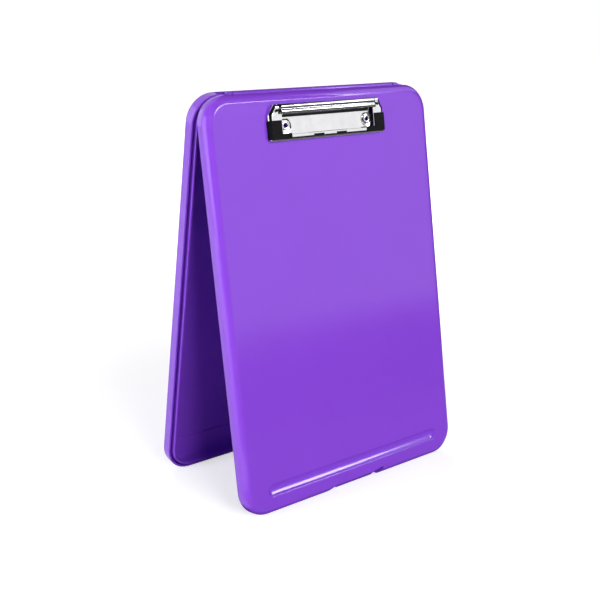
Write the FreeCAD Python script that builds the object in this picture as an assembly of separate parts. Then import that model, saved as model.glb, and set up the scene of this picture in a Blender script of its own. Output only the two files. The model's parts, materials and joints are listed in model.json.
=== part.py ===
import FreeCAD, Part
import math
import os

# Storage clipboard box, in millimetres: two hinged plastic shells, standing open as an upturned V.
#
# Board frame, in which every piece is drawn: the box is shut and seen from the front.
# X runs across, Y up the board from its bottom edge, Z out of the front from the plane
# where the two shells meet. stand() then swings each shell about the hinge and puts
# both bottom edges on the floor: X across, Y towards the tray's back, Z up, with the
# origin on the floor, straight below the hinge.

V = FreeCAD.Vector

# The board
board_width = 240.0
board_height = 340.0
corner_radius = 23.0
rim_gap = 0.3
opening_angle = 18.7

# Cuts run past the faces that they open by this much
overrun = 2.0
pick_tolerance = 0.01

# The tray, which is the back half
tray_depth = 12.0
tray_edge_radius = 4.5
lip_thickness = 1.6
channel_width = 2.1
channel_depth = 5.0
ridge_thickness = 2.0
ridge_height = 2.3
ridge_rounding = 0.6
tray_floor = 2.4
pocket_rounding = 3.0
panel_depth = 0.7
panel_side_margin = 4.5
panel_end_margin = 20.0
panel_radius = 9.0

# The cover, which is the front half and the writing board
cover_depth = 12.0
cover_edge_radius = 7.5
cover_wall = 2.0
cover_face = 2.2
cover_inner_rounding = 5.2

# The trough for a pen, near the cover's bottom edge
trough_centre = 20.0
trough_end_margin = 22.4
trough_width = 10.4
trough_depth = 2.8
trough_wall = 1.8
trough_rounding = 0.7

# The finger notch in the cover's bottom edge, its inner tongue and its small window
notch_height = 3.2
notch_left_foot = 35.0
notch_left_top = 26.0
notch_right_top = 18.0
notch_right_bend = 24.0
notch_bend_height = 1.2
notch_right_foot = 36.0
tongue_thickness = 1.8
tongue_end_gap = 1.5
window_left = 20.0
window_right = 30.5
window_bottom = 3.0
window_height = 3.4

# The snap latch: a hook inside the cover and a bead on the tray's ridge
hook_half_width = 8.0
hook_thickness = 1.6
hook_reach = 0.8
hook_rounding = 0.5
hook_bead_radius = 0.35
catch_bead_radius = 0.45
catch_bead_height = 1.2
running_gap = 0.35

# The hinge along the top edge
hinge_forward = 3.0
hinge_above = 0.2
barrel_radius = 2.2
barrel_end_margin = 34.0
lug_gap = 0.9
lug_length = 5.1
lug_root = 3.0
lug_thickness = 2.0
hinge_pin_radius = 0.9
pin_press_clearance = 0.02
pin_running_clearance = 0.05
pin_in_barrel = 8.0
pin_end_recess = 0.6
barrel_bore_extra = 0.5

# The clip on the cover. Places down the board are measured from its top edge,
# and heights are measured from the cover's face.
steel = 0.9
clip_half_width = 62.1
clip_top = 10.3
clip_bottom = 39.9
chamfer_across = 5.4
chamfer_down = 8.2
clip_corner_radius = 3.0
arm_height = 4.2
arm_width = 12.8
arm_rounding = 2.4
bar_end_inset = 8.6
bar_foot = 3.0
bar_heel = 3.8
ridge_radius = 2.05
ridge_pitch = 3.9
ridge_centre_height = 4.3
skirt_foot = 0.6
lip_gap = 0.35
strip_width = 5.3
slot_inner = 6.6
slot_outer = 18.0
slot_above_edge = 4.1
slot_width = 1.4
ear_radius = 1.5
ear_inset = 2.1
ear_rise = 2.5

# The rod that the clip turns on, and the two coil springs round it
rod_below_top = 4.2
rod_up = 2.7
rod_radius = 0.9
rod_end_beyond = 0.5
rod_fit = 0.03
ear_clearance = 0.06
wire_radius = 0.3
coil_radius = 1.35
coil_pitch = 1.05
coil_turns = 4
wire_sides = 8
coil_inner_end = 25.0
upper_leg_angle = 215.0
lower_leg_angle = 265.0
upper_leg = 3.15
lower_leg = 2.4
gap_samples_per_arc = 8

# The plate under the clip, with the curled knuckles that hold the rod
plate_thickness = 0.8
plate_side_inset = 8.1
plate_above_rod = 1.5
plate_bottom_inset = 4.4
plate_corner_radius = 2.0
knuckle_wall = 0.6
inner_knuckle_start = 12.0
outer_knuckle_start = 38.0
knuckle_length = 8.0
dish_radius = 5.9
dish_floor_radius = 4.7
dish_depth = 0.45

# The hollow rivets that hold the plate, and their washers behind the cover
rivet_side_inset = 17.9
rivet_bottom_inset = 12.4
rivet_radius = 2.2
rivet_bore = 1.6
rivet_clearance = 0.1
rivet_head_radius = 3.8
rivet_head_height = 0.95
rivet_head_edge = 0.4
rivet_crown_slope = 0.7
rivet_tail_radius = 3.4
rivet_tail_height = 0.7
washer_radius = 5.0
washer_thickness = 0.8

# The rubber grips over the clip's lower corners
grip_thickness = 0.8
grip_rise = 16.9
grip_width = 11.5
grip_step_rise = 6.1
grip_foot_width = 20.9
grip_bottom_inset = 1.7
grip_skirt = 1.2

# What follows from the sizes above
tray_rim = -rim_gap / 2
cover_rim = rim_gap / 2
ridge_inset = lip_thickness + channel_width
pocket_inset = ridge_inset + ridge_thickness
ridge_crest = tray_rim + ridge_height
hinge_y = board_height + hinge_above
hinge_z = hinge_forward
barrel_half_length = board_width / 2 - barrel_end_margin
lug_start = barrel_half_length + lug_gap
lug_end = lug_start + lug_length
trough_half_length = board_width / 2 - trough_end_margin
arm_inner_edge = clip_half_width - arm_width
bar_half_length = clip_half_width - bar_end_inset
strip_top = clip_bottom - strip_width
slot_top = clip_bottom - slot_above_edge
slot_bottom = slot_top + slot_width
ear_inner_face = arm_inner_edge - ear_inset
ear_top = rod_up + ear_rise
rod_down = clip_top + rod_below_top
rod_half_length = ear_inner_face + steel + rod_end_beyond
plate_half_width = clip_half_width - plate_side_inset
plate_top = rod_down - plate_above_rod
plate_bottom = clip_bottom - plate_bottom_inset
rivet_across = clip_half_width - rivet_side_inset
rivet_down = clip_bottom - rivet_bottom_inset
grip_top = clip_bottom - grip_rise
grip_inner_edge = clip_half_width - grip_width
grip_step_down = clip_bottom - grip_step_rise
grip_foot_edge = clip_half_width - grip_foot_width
grip_bottom = clip_bottom - grip_bottom_inset


def rounded_outline(left, bottom, right, top, radius, level):
    """A rectangle with round corners, as a closed wire in the plane Z = level."""
    turn = radius * (1 - math.sqrt(0.5))
    starts = [
        ((left + radius, bottom), (right - radius, bottom)),
        ((right, bottom + radius), (right, top - radius)),
        ((right - radius, top), (left + radius, top)),
        ((left, top - radius), (left, bottom + radius)),
    ]
    middles = [
        (right - turn, bottom + turn),
        (right - turn, top - turn),
        (left + turn, top - turn),
        (left + turn, bottom + turn),
    ]
    edges = []
    for number, (start, end) in enumerate(starts):
        following = starts[(number + 1) % len(starts)][0]
        edges.append(Part.makeLine(V(*start, level), V(*end, level)))
        arc = Part.Arc(V(*end, level), V(*middles[number], level), V(*following, level))
        edges.append(arc.toShape())
    return Part.Wire(edges)


def board_block(inset, low, high):
    """The board's outline drawn in by inset, from Z = low to Z = high."""
    outline = rounded_outline(
        inset - board_width / 2,
        inset,
        board_width / 2 - inset,
        board_height - inset,
        corner_radius - inset,
        low,
    )
    return Part.Face(outline).extrude(V(0, 0, high - low))


def edges_at_level(shape, level):
    """The edges of a shape that lie in the plane Z = level."""
    return [
        edge
        for edge in shape.Edges
        if abs(edge.BoundBox.ZMin - level) < pick_tolerance
        and abs(edge.BoundBox.ZMax - level) < pick_tolerance
    ]


def box_between(low, high):
    """A box from its lowest to its highest corner."""
    size = [far - near for near, far in zip(low, high)]
    return Part.makeBox(*size, V(*low))


def rod_along_x(radius, start, end, y, z):
    """A round bar that runs along X."""
    return Part.makeCylinder(radius, end - start, V(start, y, z), V(1, 0, 0))


def across(points, start, end):
    """A prism along X from an outline of points and arcs in (down the clip, height)."""
    edges = outline_edges(points, start)
    return Part.Face(Part.Wire(edges)).extrude(V(end - start, 0, 0))


def outline_edges(points, start):
    """Edges of a closed outline. A third value on a point is the middle of an arc that leads to it."""
    place = lambda point: V(start, -point[0], point[1])
    edges = []
    for number, point in enumerate(points):
        before = points[number - 1]
        if len(point) > 2:
            middle = place(point[2])
            edges.append(Part.Arc(place(before), middle, place(point)).toShape())
        else:
            edges.append(Part.makeLine(place(before), place(point)))
    return edges


def on_circle(centre, radius, degrees):
    """The point of a circle at an angle, in (down the clip, height)."""
    angle = math.radians(degrees)
    return (centre[0] + radius * math.cos(angle), centre[1] + radius * math.sin(angle))


# The tray


def tray_pocket():
    """The storage space inside the ridge, with the shallow panel sunk in its floor."""
    floor = tray_floor - tray_depth
    pocket = board_block(pocket_inset, floor, ridge_crest + overrun)
    pocket = pocket.makeFillet(pocket_rounding, edges_at_level(pocket, floor))
    side = board_width / 2 - pocket_inset - panel_side_margin
    end = pocket_inset + panel_end_margin
    outline = rounded_outline(-side, end, side, board_height - end, panel_radius, floor - panel_depth)
    return pocket.fuse(Part.Face(outline).extrude(V(0, 0, panel_depth + overrun)))


def tray_lug(side):
    """A lug on the tray's top edge that carries one end of the hinge."""
    start = lug_start if side > 0 else -lug_end
    end = start + lug_length
    eye = rod_along_x(barrel_radius, start, end, hinge_y, hinge_z)
    low_corner = (start, board_height - lug_thickness, tray_rim - lug_root)
    root = box_between(low_corner, (end, board_height, hinge_z))
    return eye.fuse(root)


def back_tray():
    """The back shell: floor, rounded outer wall, dust channel, ridge, hinge lugs and latch bead."""
    body = board_block(0, -tray_depth, tray_rim)
    body = body.makeFillet(tray_edge_radius, edges_at_level(body, -tray_depth))
    body = body.cut(board_block(lip_thickness, tray_rim - channel_depth, tray_rim + overrun))
    ridge = board_block(ridge_inset, tray_rim - channel_depth, ridge_crest)
    ridge = ridge.makeFillet(ridge_rounding, edges_at_level(ridge, ridge_crest))
    body = body.fuse(ridge).cut(tray_pocket())
    bead = rod_along_x(
        catch_bead_radius, -hook_half_width, hook_half_width, pocket_inset, catch_bead_height
    )
    body = body.fuse([bead, tray_lug(-1), tray_lug(1)])
    bore = hinge_pin_radius + pin_press_clearance
    for side in (-1, 1):
        start = side * (lug_start - overrun / 2)
        end = side * (lug_end + overrun / 2)
        body = body.cut(rod_along_x(bore, min(start, end), max(start, end), hinge_y, hinge_z))
    return body.removeSplitter()


# The cover


def trough_capsule(extra):
    """The round-ended bar whose underside is the pen trough, grown by extra."""
    half_width = trough_width / 2
    radius = (half_width**2 + trough_depth**2) / (2 * trough_depth)
    height = cover_depth - trough_depth + radius
    reach = trough_half_length - half_width
    bar = rod_along_x(radius + extra, -reach, reach, trough_centre, height)
    ends = [Part.makeSphere(radius + extra, V(side * reach, trough_centre, height)) for side in (-1, 1)]
    return bar.fuse(ends)


def finger_notch():
    """The piece cut out of the cover's bottom edge."""
    points = [
        (-notch_left_foot, -overrun),
        (-notch_left_foot, 0),
        (-notch_left_top, notch_height),
        (notch_right_top, notch_height),
        (notch_right_bend, notch_bend_height),
        (notch_right_foot, 0),
        (notch_right_foot, -overrun),
    ]
    corners = [V(x, y, -overrun) for x, y in points]
    face = Part.Face(Part.makePolygon(corners + corners[:1]))
    return face.extrude(V(0, 0, cover_depth + 2 * overrun))


def latch_tongue():
    """The set-back wall that closes the notch, and the hook behind it."""
    tongue = box_between(
        (tongue_end_gap - notch_left_top, notch_height, ridge_crest + running_gap),
        (notch_right_top - tongue_end_gap, notch_height + tongue_thickness, cover_depth - cover_face),
    )
    inner = pocket_inset + catch_bead_radius + running_gap + hook_bead_radius
    hook = box_between(
        (-hook_half_width, inner, -hook_reach),
        (hook_half_width, inner + hook_thickness, cover_depth - cover_face / 2),
    )
    hook = hook.makeFillet(hook_rounding, edges_at_level(hook, -hook_reach))
    bead = rod_along_x(hook_bead_radius, -hook_half_width, hook_half_width, inner, 0)
    return [tongue, hook.fuse(bead)]


def notch_window():
    """The small round-ended window beside the notch, through the front wall."""
    outline = rounded_outline(
        window_left,
        window_bottom,
        window_right,
        window_bottom + window_height,
        window_height / 2 - pick_tolerance,
        cover_depth / 2,
    )
    return Part.Face(outline).extrude(V(0, 0, cover_depth))


def cover_cavity():
    """The hollow inside the cover."""
    ceiling = cover_depth - cover_face
    cavity = board_block(cover_wall, cover_rim - overrun, ceiling)
    return cavity.makeFillet(cover_inner_rounding, edges_at_level(cavity, ceiling))


def lug_relief(side):
    """The cut in the cover's top wall that a lug of the tray sits in."""
    start = lug_start - running_gap if side > 0 else -lug_end - running_gap
    end = start + lug_length + 2 * running_gap
    reach = barrel_radius + running_gap
    return box_between(
        (start, board_height - lug_thickness - running_gap, cover_rim - overrun),
        (end, board_height + barrel_radius + overrun, hinge_z + reach),
    )


def front_cover():
    """The front shell: writing face, pen trough, rounded walls, notch, latch and hinge barrel."""
    body = board_block(0, cover_rim, cover_depth)
    body = body.makeFillet(cover_edge_radius, edges_at_level(body, cover_depth))
    notched = body.cut(finger_notch())
    cavity = cover_cavity()
    boss = trough_capsule(trough_wall).common(cavity)
    body = notched.cut(cavity).fuse(boss).cut(trough_capsule(0))
    body = body.fuse([piece.common(board_block(0, -tray_depth, cover_depth)) for piece in latch_tongue()])
    body = body.cut([notch_window(), lug_relief(-1), lug_relief(1)])
    barrel = rod_along_x(barrel_radius, -barrel_half_length, barrel_half_length, hinge_y, hinge_z)
    body = body.fuse(barrel).removeSplitter()
    bore = hinge_pin_radius + pin_running_clearance
    depth = pin_in_barrel + barrel_bore_extra
    for side in (-1, 1):
        start = side * (barrel_half_length - depth)
        end = side * lug_start
        body = body.cut(rod_along_x(bore, min(start, end), max(start, end), hinge_y, hinge_z))
        hole = rivet_radius + rivet_clearance
        foot = V(side * rivet_across, board_height - rivet_down, 0)
        body = body.cut(Part.makeCylinder(hole, cover_depth + overrun, foot))
    return round_trough_lip(body)


def round_trough_lip(body):
    """Rounds the edge where the pen trough meets the face."""
    top = trough_centre + trough_width / 2 + pick_tolerance
    bottom = trough_centre - trough_width / 2 - pick_tolerance
    lip = [
        edge
        for edge in edges_at_level(body, cover_depth)
        if edge.BoundBox.YMax < top and edge.BoundBox.YMin > bottom
    ]
    return body.makeFillet(trough_rounding, lip)


def hinge_pin(side):
    """A steel pin pressed into a lug of the tray, on which the cover's barrel turns."""
    start = side * (barrel_half_length - pin_in_barrel)
    end = side * (lug_end - pin_end_recess)
    return rod_along_x(hinge_pin_radius, min(start, end), max(start, end), hinge_y, hinge_z)


# The clip, drawn from the board's top edge and the cover's face


def clip_outline(skin, level):
    """The clip's outline seen from the front, drawn in by skin, in the plane Z = level."""
    half = clip_half_width - skin
    top = clip_top + skin
    bottom = clip_bottom - skin
    radius = clip_corner_radius - skin
    turn = radius * (1 - math.sqrt(0.5))
    slope = math.hypot(chamfer_across, chamfer_down)
    shoulder = clip_top + chamfer_down + skin * (slope - chamfer_across) / chamfer_down
    point = clip_half_width - chamfer_across - skin * (slope - chamfer_down) / chamfer_across
    place = lambda across_clip, down: V(across_clip, -down, level)
    edges = [
        Part.makeLine(place(-point, top), place(point, top)),
        Part.makeLine(place(point, top), place(half, shoulder)),
        Part.makeLine(place(half, shoulder), place(half, bottom - radius)),
        Part.Arc(
            place(half, bottom - radius),
            place(half - turn, bottom - turn),
            place(half - radius, bottom),
        ).toShape(),
        Part.makeLine(place(half - radius, bottom), place(radius - half, bottom)),
        Part.Arc(
            place(radius - half, bottom),
            place(turn - half, bottom - turn),
            place(-half, bottom - radius),
        ).toShape(),
        Part.makeLine(place(-half, bottom - radius), place(-half, shoulder)),
        Part.makeLine(place(-half, shoulder), place(-point, top)),
    ]
    return Part.Wire(edges)


def arm_block(skin, low):
    """The clip's frame as a block with a rounded top edge, drawn in by skin."""
    high = arm_height - skin
    block = Part.Face(clip_outline(skin, low)).extrude(V(0, 0, high - low))
    return block.makeFillet(arm_rounding - skin, edges_at_level(block, high))


def foot_clearance():
    """The space under the clip's frame, which leaves room for it to tip."""
    return across(
        [
            (clip_top - overrun, -overrun),
            (clip_top - overrun, bar_foot),
            (clip_top, bar_foot),
            (rod_down, skirt_foot),
            (clip_bottom + overrun, lip_gap),
            (clip_bottom + overrun, -overrun),
        ],
        -clip_half_width - overrun,
        clip_half_width + overrun,
    )


def press_bar():
    """The rolled bar that a thumb presses: two ridges in one sheet, carried across the clip."""
    first = (clip_top + ridge_radius, ridge_centre_height)
    second = (first[0] + ridge_pitch, ridge_centre_height)
    reach = ridge_pitch / 2 / math.cos(math.radians(45))
    valley = (first[0] + ridge_pitch / 2, ridge_centre_height + ridge_pitch / 2)
    inner = ridge_radius - steel
    dip = reach - ridge_radius
    outside = [
        (clip_top, bar_foot),
        (clip_top, ridge_centre_height),
        (*on_circle(first, ridge_radius, 45), on_circle(first, ridge_radius, 110)),
        (*on_circle(second, ridge_radius, 135), on_circle(valley, dip, 270)),
        (second[0] + ridge_radius, ridge_centre_height, on_circle(second, ridge_radius, 70)),
        (second[0] + ridge_radius, bar_heel),
    ]
    inside = [
        (second[0] + inner, bar_heel),
        (second[0] + inner, ridge_centre_height),
        (*on_circle(second, inner, 135), on_circle(second, inner, 70)),
        (*on_circle(first, inner, 45), on_circle(valley, dip + steel, 270)),
        (clip_top + steel, ridge_centre_height, on_circle(first, inner, 110)),
        (clip_top + steel, bar_foot),
    ]
    return across(outside + inside, -bar_half_length, bar_half_length)


def jaw_ear(side):
    """A small plate under the press bar with the hole that turns on the rod."""
    start = ear_inner_face if side > 0 else -ear_inner_face - steel
    disc = rod_along_x(ear_radius, start, start + steel, -rod_down, rod_up)
    web = box_between(
        (start, -rod_down - ear_radius, rod_up),
        (start + steel, -rod_down + ear_radius, ear_top),
    )
    return disc.fuse(web)


def clip_jaw():
    """The clip's moving frame: press bar, two arms and the jaw across the bottom."""
    frame = arm_block(0, 0).cut([foot_clearance(), arm_block(steel, -overrun)])
    frame = frame.cut(
        box_between(
            (-arm_inner_edge, -strip_top, -overrun),
            (arm_inner_edge, -clip_top + overrun, arm_height + overrun),
        )
    )
    for side in (-1, 1):
        near = min(side * slot_inner, side * slot_outer)
        far = max(side * slot_inner, side * slot_outer)
        slot = box_between((near, -slot_bottom, rod_up), (far, -slot_top, arm_height + overrun))
        frame = frame.cut(slot)
    frame = frame.fuse([press_bar(), jaw_ear(-1), jaw_ear(1)])
    hole = rod_radius + ear_clearance
    for side in (-1, 1):
        middle = side * (ear_inner_face + steel / 2)
        frame = frame.cut(rod_along_x(hole, middle - steel, middle + steel, -rod_down, rod_up))
    return frame.removeSplitter()


def grip(side):
    """A rubber grip that caps one lower corner of the clip."""
    outer = side * (clip_half_width + overrun)
    points = [
        (outer, grip_top),
        (side * grip_inner_edge, grip_top),
        (side * grip_inner_edge, grip_step_down),
        (side * grip_foot_edge, grip_step_down),
        (side * grip_foot_edge, grip_bottom),
        (outer, grip_bottom),
    ]
    corners = [V(x, -y, grip_skirt) for x, y in points]
    reach = Part.Face(Part.makePolygon(corners + corners[:1])).extrude(V(0, 0, arm_height + overrun))
    return arm_block(-grip_thickness, grip_skirt).common(reach).cut(arm_block(0, 0))


def knuckle(start):
    """A strip of the plate that rises and curls over the rod."""
    bore = rod_radius + rod_fit
    outer = bore + knuckle_wall
    end = start + knuckle_length
    tube = rod_along_x(outer, start, end, -rod_down, rod_up)
    neck = box_between((start, -rod_down - outer, 0), (end, -rod_down - bore, rod_up))
    return tube.fuse(neck).cut(rod_along_x(bore, start - overrun, end + overrun, -rod_down, rod_up))


def clip_base_plate():
    """The plate riveted to the cover, with a round dish at each rivet."""
    outline = rounded_outline(
        -plate_half_width, -plate_bottom, plate_half_width, -plate_top, plate_corner_radius, 0
    )
    plate = Part.Face(outline).extrude(V(0, 0, plate_thickness))
    starts = [inner_knuckle_start, outer_knuckle_start]
    starts += [-start - knuckle_length for start in starts]
    plate = plate.fuse([knuckle(start) for start in starts])
    hole = rivet_radius + rivet_clearance
    floor = plate_thickness - dish_depth
    for side in (-1, 1):
        foot = V(side * rivet_across, -rivet_down, floor)
        plate = plate.cut(Part.makeCone(dish_floor_radius, dish_radius, dish_depth, foot))
        below = V(side * rivet_across, -rivet_down, -overrun)
        plate = plate.cut(Part.makeCylinder(hole, plate_thickness + 2 * overrun, below))
    return plate.removeSplitter()


def turned(points, side):
    """A solid of revolution about a rivet's own axis, from an outline of (radius, height)."""
    corners = [V(side * rivet_across + radius, -rivet_down, height) for radius, height in points]
    face = Part.Face(Part.makePolygon(corners + corners[:1]))
    return face.revolve(V(side * rivet_across, -rivet_down, 0), V(0, 0, 1), 360)


def rivet(side):
    """A hollow rivet: crowned head in the plate's dish, tail rolled over the washer."""
    seat = plate_thickness - dish_depth
    back = -cover_face - washer_thickness
    crown = seat + rivet_head_height
    tail = back - rivet_tail_height
    return turned(
        [
            (rivet_bore, tail + rivet_tail_height / 2),
            (rivet_bore, crown - rivet_head_edge / 2),
            (rivet_bore + rivet_head_edge, crown),
            (rivet_head_radius - rivet_crown_slope, crown),
            (rivet_head_radius, seat + rivet_head_edge),
            (rivet_head_radius, seat),
            (rivet_radius, seat),
            (rivet_radius, back),
            (rivet_tail_radius, back),
            ((rivet_bore + rivet_tail_radius) / 2, tail),
        ],
        side,
    )


def rivet_washer(side):
    """The washer behind the cover's face that a rivet is rolled over."""
    bore = rivet_radius + rivet_clearance
    back = -cover_face - washer_thickness
    return turned(
        [(bore, back), (bore, -cover_face), (washer_radius, -cover_face), (washer_radius, back)], side
    )


def clip_rod():
    """The steel rod that the clip turns on."""
    return rod_along_x(rod_radius, -rod_half_length, rod_half_length, -rod_down, rod_up)


# The coil springs


def helix_point(degrees, start, hand):
    """The point and the unit direction of the spring's coil at a winding angle."""
    angle = math.radians(degrees)
    rise = coil_pitch / 360.0
    point = V(
        start + hand * rise * (degrees - upper_leg_angle),
        -rod_down - coil_radius * math.cos(angle),
        rod_up + coil_radius * math.sin(angle),
    )
    slope = hand * coil_pitch / (2 * math.pi)
    direction = V(slope, coil_radius * math.sin(angle), coil_radius * math.cos(angle))
    return point, direction.normalize()


def biarc(start, start_way, end, end_way):
    """Two arcs that meet smoothly and join two points with given directions."""
    chord = end - start
    ways = start_way + end_way
    square = 2 * (1 - start_way.dot(end_way))
    half = chord.dot(ways)
    length = (math.sqrt(half**2 + square * chord.dot(chord)) - half) / square
    first = start + start_way * length
    second = end - end_way * length
    joint = (first + second) * 0.5
    return [bent(start, first, joint), bent(joint, second, end)]


def bent(start, corner, end):
    """The arc from start to end whose end directions cross at corner."""
    chord_middle = (start + end) * 0.5
    sagitta = corner - chord_middle
    half_chord = (end - start).Length / 2
    side = (corner - start).Length
    share = half_chord / (side + half_chord)
    return Part.Arc(start, chord_middle + sagitta * share, end).toShape()


def wire_section(centre, way):
    """The wire's outline across its own direction: a regular polygon whose flats touch the wire's circle."""
    first = way.cross(V(1, 0, 0)).normalize()
    second = way.cross(first).normalize()
    reach = wire_radius / math.cos(math.pi / wire_sides)
    corners = []
    for number in range(wire_sides):
        angle = 2 * math.pi * number / wire_sides
        corners.append(centre + first * (reach * math.cos(angle)) + second * (reach * math.sin(angle)))
    return Part.makePolygon(corners + corners[:1])


def least_gap(edges):
    """The least space between stretches of the wire more than half a turn apart, on sampled points."""
    points = []
    lengths = []
    travelled = 0
    for edge in edges:
        samples = edge.discretize(gap_samples_per_arc + 1)[:-1]
        for number, point in enumerate(samples):
            points.append(point)
            lengths.append(travelled + edge.Length * number / gap_samples_per_arc)
        travelled += edge.Length
    apart = math.pi * coil_radius
    spaces = [
        here.distanceToPoint(there)
        for number, here in enumerate(points)
        for there, along in zip(points[number:], lengths[number:])
        if along - lengths[number] > apart
    ]
    return min(spaces) - 2 * wire_radius


def clip_spring(side):
    """A torsion spring of wire: a leg under the press bar, the coil, a leg on the plate."""
    last = lower_leg_angle + 360.0 * coil_turns
    steps = round((last - upper_leg_angle) / 180.0)
    start = side * coil_inner_end
    stops = [
        helix_point(upper_leg_angle + (last - upper_leg_angle) * number / steps, start, side)
        for number in range(steps + 1)
    ]
    first, first_way = stops[0]
    end, end_way = stops[-1]
    leg_tip = first - first_way * upper_leg
    edges = [Part.makeLine(leg_tip, first)]
    for (here, way), (there, onward) in zip(stops, stops[1:]):
        edges += biarc(here, way, there, onward)
    edges.append(Part.makeLine(end, end + end_way * lower_leg))
    spring = Part.Wire(edges).makePipeShell([wire_section(leg_tip, first_way)], True, False)
    print("spring: turns", coil_turns, "least gap of the wire to itself", round(least_gap(edges), 3))
    return spring


# Putting the pieces in place


def leans():
    """How far the tray and the cover lean from upright when both stand on the floor, in degrees."""
    angle = math.radians(opening_angle)
    tray_foot = (hinge_z - tray_rim, -hinge_y)
    arm = (hinge_z - cover_rim, -hinge_y)
    cover_foot = (
        arm[0] * math.cos(angle) + arm[1] * math.sin(angle),
        arm[1] * math.cos(angle) - arm[0] * math.sin(angle),
    )
    tilt = -math.degrees(
        math.atan2(tray_foot[1] - cover_foot[1], tray_foot[0] - cover_foot[0])
    )
    return tilt, opening_angle - tilt


def hinge_height():
    """The height of the hinge's axis above the floor."""
    lean = math.radians(leans()[0])
    return hinge_y * math.cos(lean) - (hinge_z - tray_rim) * math.sin(lean)


def stand(shape, lean):
    """Moves a piece from the board frame to its place in the standing box."""
    from_hinge = FreeCAD.Placement(V(0, -hinge_y, -hinge_z), FreeCAD.Rotation())
    upright = FreeCAD.Placement(V(0, 0, 0), FreeCAD.Rotation(V(1, 0, 0), 90 + lean))
    to_height = FreeCAD.Placement(V(0, 0, hinge_height()), FreeCAD.Rotation())
    moved = shape.copy()
    moved.Placement = to_height.multiply(upright).multiply(from_hinge).multiply(shape.Placement)
    return moved


def on_cover_face(shape):
    """Moves a piece of the clip from the clip's own frame to the board frame."""
    moved = shape.copy()
    moved.Placement = FreeCAD.Placement(V(0, board_height, cover_depth), FreeCAD.Rotation()).multiply(
        shape.Placement
    )
    return moved


def tray_pieces():
    """The pieces that stay with the tray, in the board frame."""
    return {
        "back_tray": back_tray(),
        "hinge_pin_left": hinge_pin(-1),
        "hinge_pin_right": hinge_pin(1),
    }


def cover_pieces():
    """The pieces that swing with the cover, in the board frame."""
    pieces = {"front_cover": front_cover()}
    clip = {
        "clip_base_plate": clip_base_plate(),
        "clip_jaw": clip_jaw(),
        "clip_pivot_rod": clip_rod(),
    }
    for name, side in (("left", -1), ("right", 1)):
        clip[f"clip_spring_{name}"] = clip_spring(side)
        clip[f"clip_grip_{name}"] = grip(side)
        clip[f"rivet_{name}"] = rivet(side)
        clip[f"rivet_washer_{name}"] = rivet_washer(side)
    for name, shape in clip.items():
        pieces[name] = on_cover_face(shape)
    return pieces


def main():
    """Writes each piece to its own file, in its place in the standing box."""
    os.makedirs("parts", exist_ok=True)
    tray_lean, cover_lean = leans()
    print("tray leans", round(tray_lean, 4), "cover leans", round(cover_lean, 4))
    print("hinge height", round(hinge_height(), 4))
    for pieces, lean in ((tray_pieces(), tray_lean), (cover_pieces(), -cover_lean)):
        for name, shape in pieces.items():
            placed = stand(shape, lean)
            volume = round(placed.Volume, 1)
            print(name, "solids", len(placed.Solids), "valid", placed.isValid(), "volume", volume)
            placed.exportStep(f"parts/{name}.step")


main()
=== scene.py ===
import json
import math
from functools import partial

import bmesh
import bpy
import numpy as np
from bpy.props import FloatProperty, FloatVectorProperty, IntProperty, PointerProperty
from mathutils import Matrix, Vector


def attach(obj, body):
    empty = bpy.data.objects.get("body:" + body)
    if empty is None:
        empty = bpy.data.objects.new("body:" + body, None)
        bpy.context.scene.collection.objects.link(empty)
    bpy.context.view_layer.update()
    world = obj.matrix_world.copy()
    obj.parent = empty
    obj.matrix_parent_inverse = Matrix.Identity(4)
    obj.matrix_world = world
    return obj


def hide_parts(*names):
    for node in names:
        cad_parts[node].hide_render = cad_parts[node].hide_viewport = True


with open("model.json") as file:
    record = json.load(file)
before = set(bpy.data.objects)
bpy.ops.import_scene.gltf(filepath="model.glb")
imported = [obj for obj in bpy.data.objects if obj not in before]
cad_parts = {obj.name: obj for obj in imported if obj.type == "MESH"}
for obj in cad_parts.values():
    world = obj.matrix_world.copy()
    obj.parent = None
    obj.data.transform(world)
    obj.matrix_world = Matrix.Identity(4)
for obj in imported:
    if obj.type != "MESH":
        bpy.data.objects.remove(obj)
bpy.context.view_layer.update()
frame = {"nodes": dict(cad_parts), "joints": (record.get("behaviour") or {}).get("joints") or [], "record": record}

bl_info = {
    "name": "Storage Clipboard Box",
    "version": (1, 0, 0),
    "blender": (4, 5, 0),
    "location": "View3D > Sidebar > Clipboard Box",
    "description": "Dresses a hinged storage clipboard: plastic shells, sprung steel clip, rivets and grips",
    "category": "Object",
}

MM = 0.001

# The room's places come from the frame: the hinge, how far the box stands open, and the tray's lean.
COVER_HINGE = next(joint for joint in frame["joints"] if joint["name"] == "cover_hinge")
BACK_REST = next(mount for mount in frame["record"]["mounts"] if mount["name"] == "back_rest")
HINGE_HEIGHT = COVER_HINGE["pos_m"][2]
TRAY_LEAN = math.atan2(BACK_REST["axis"][2], BACK_REST["axis"][1])
COVER_LEAN = TRAY_LEAN - math.radians(-COVER_HINGE["range_deg"][0])


def length(name, description, value):
    """A length property, given in millimetres and kept in metres."""
    return FloatProperty(
        name=name, description=description, default=value * MM, min=0.0, precision=5, unit="LENGTH"
    )


def colour(name, description, value):
    """A colour property in linear light."""
    return FloatVectorProperty(
        name=name, description=description, default=value, min=0.0, max=1.0, size=3, subtype="COLOR"
    )


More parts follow.
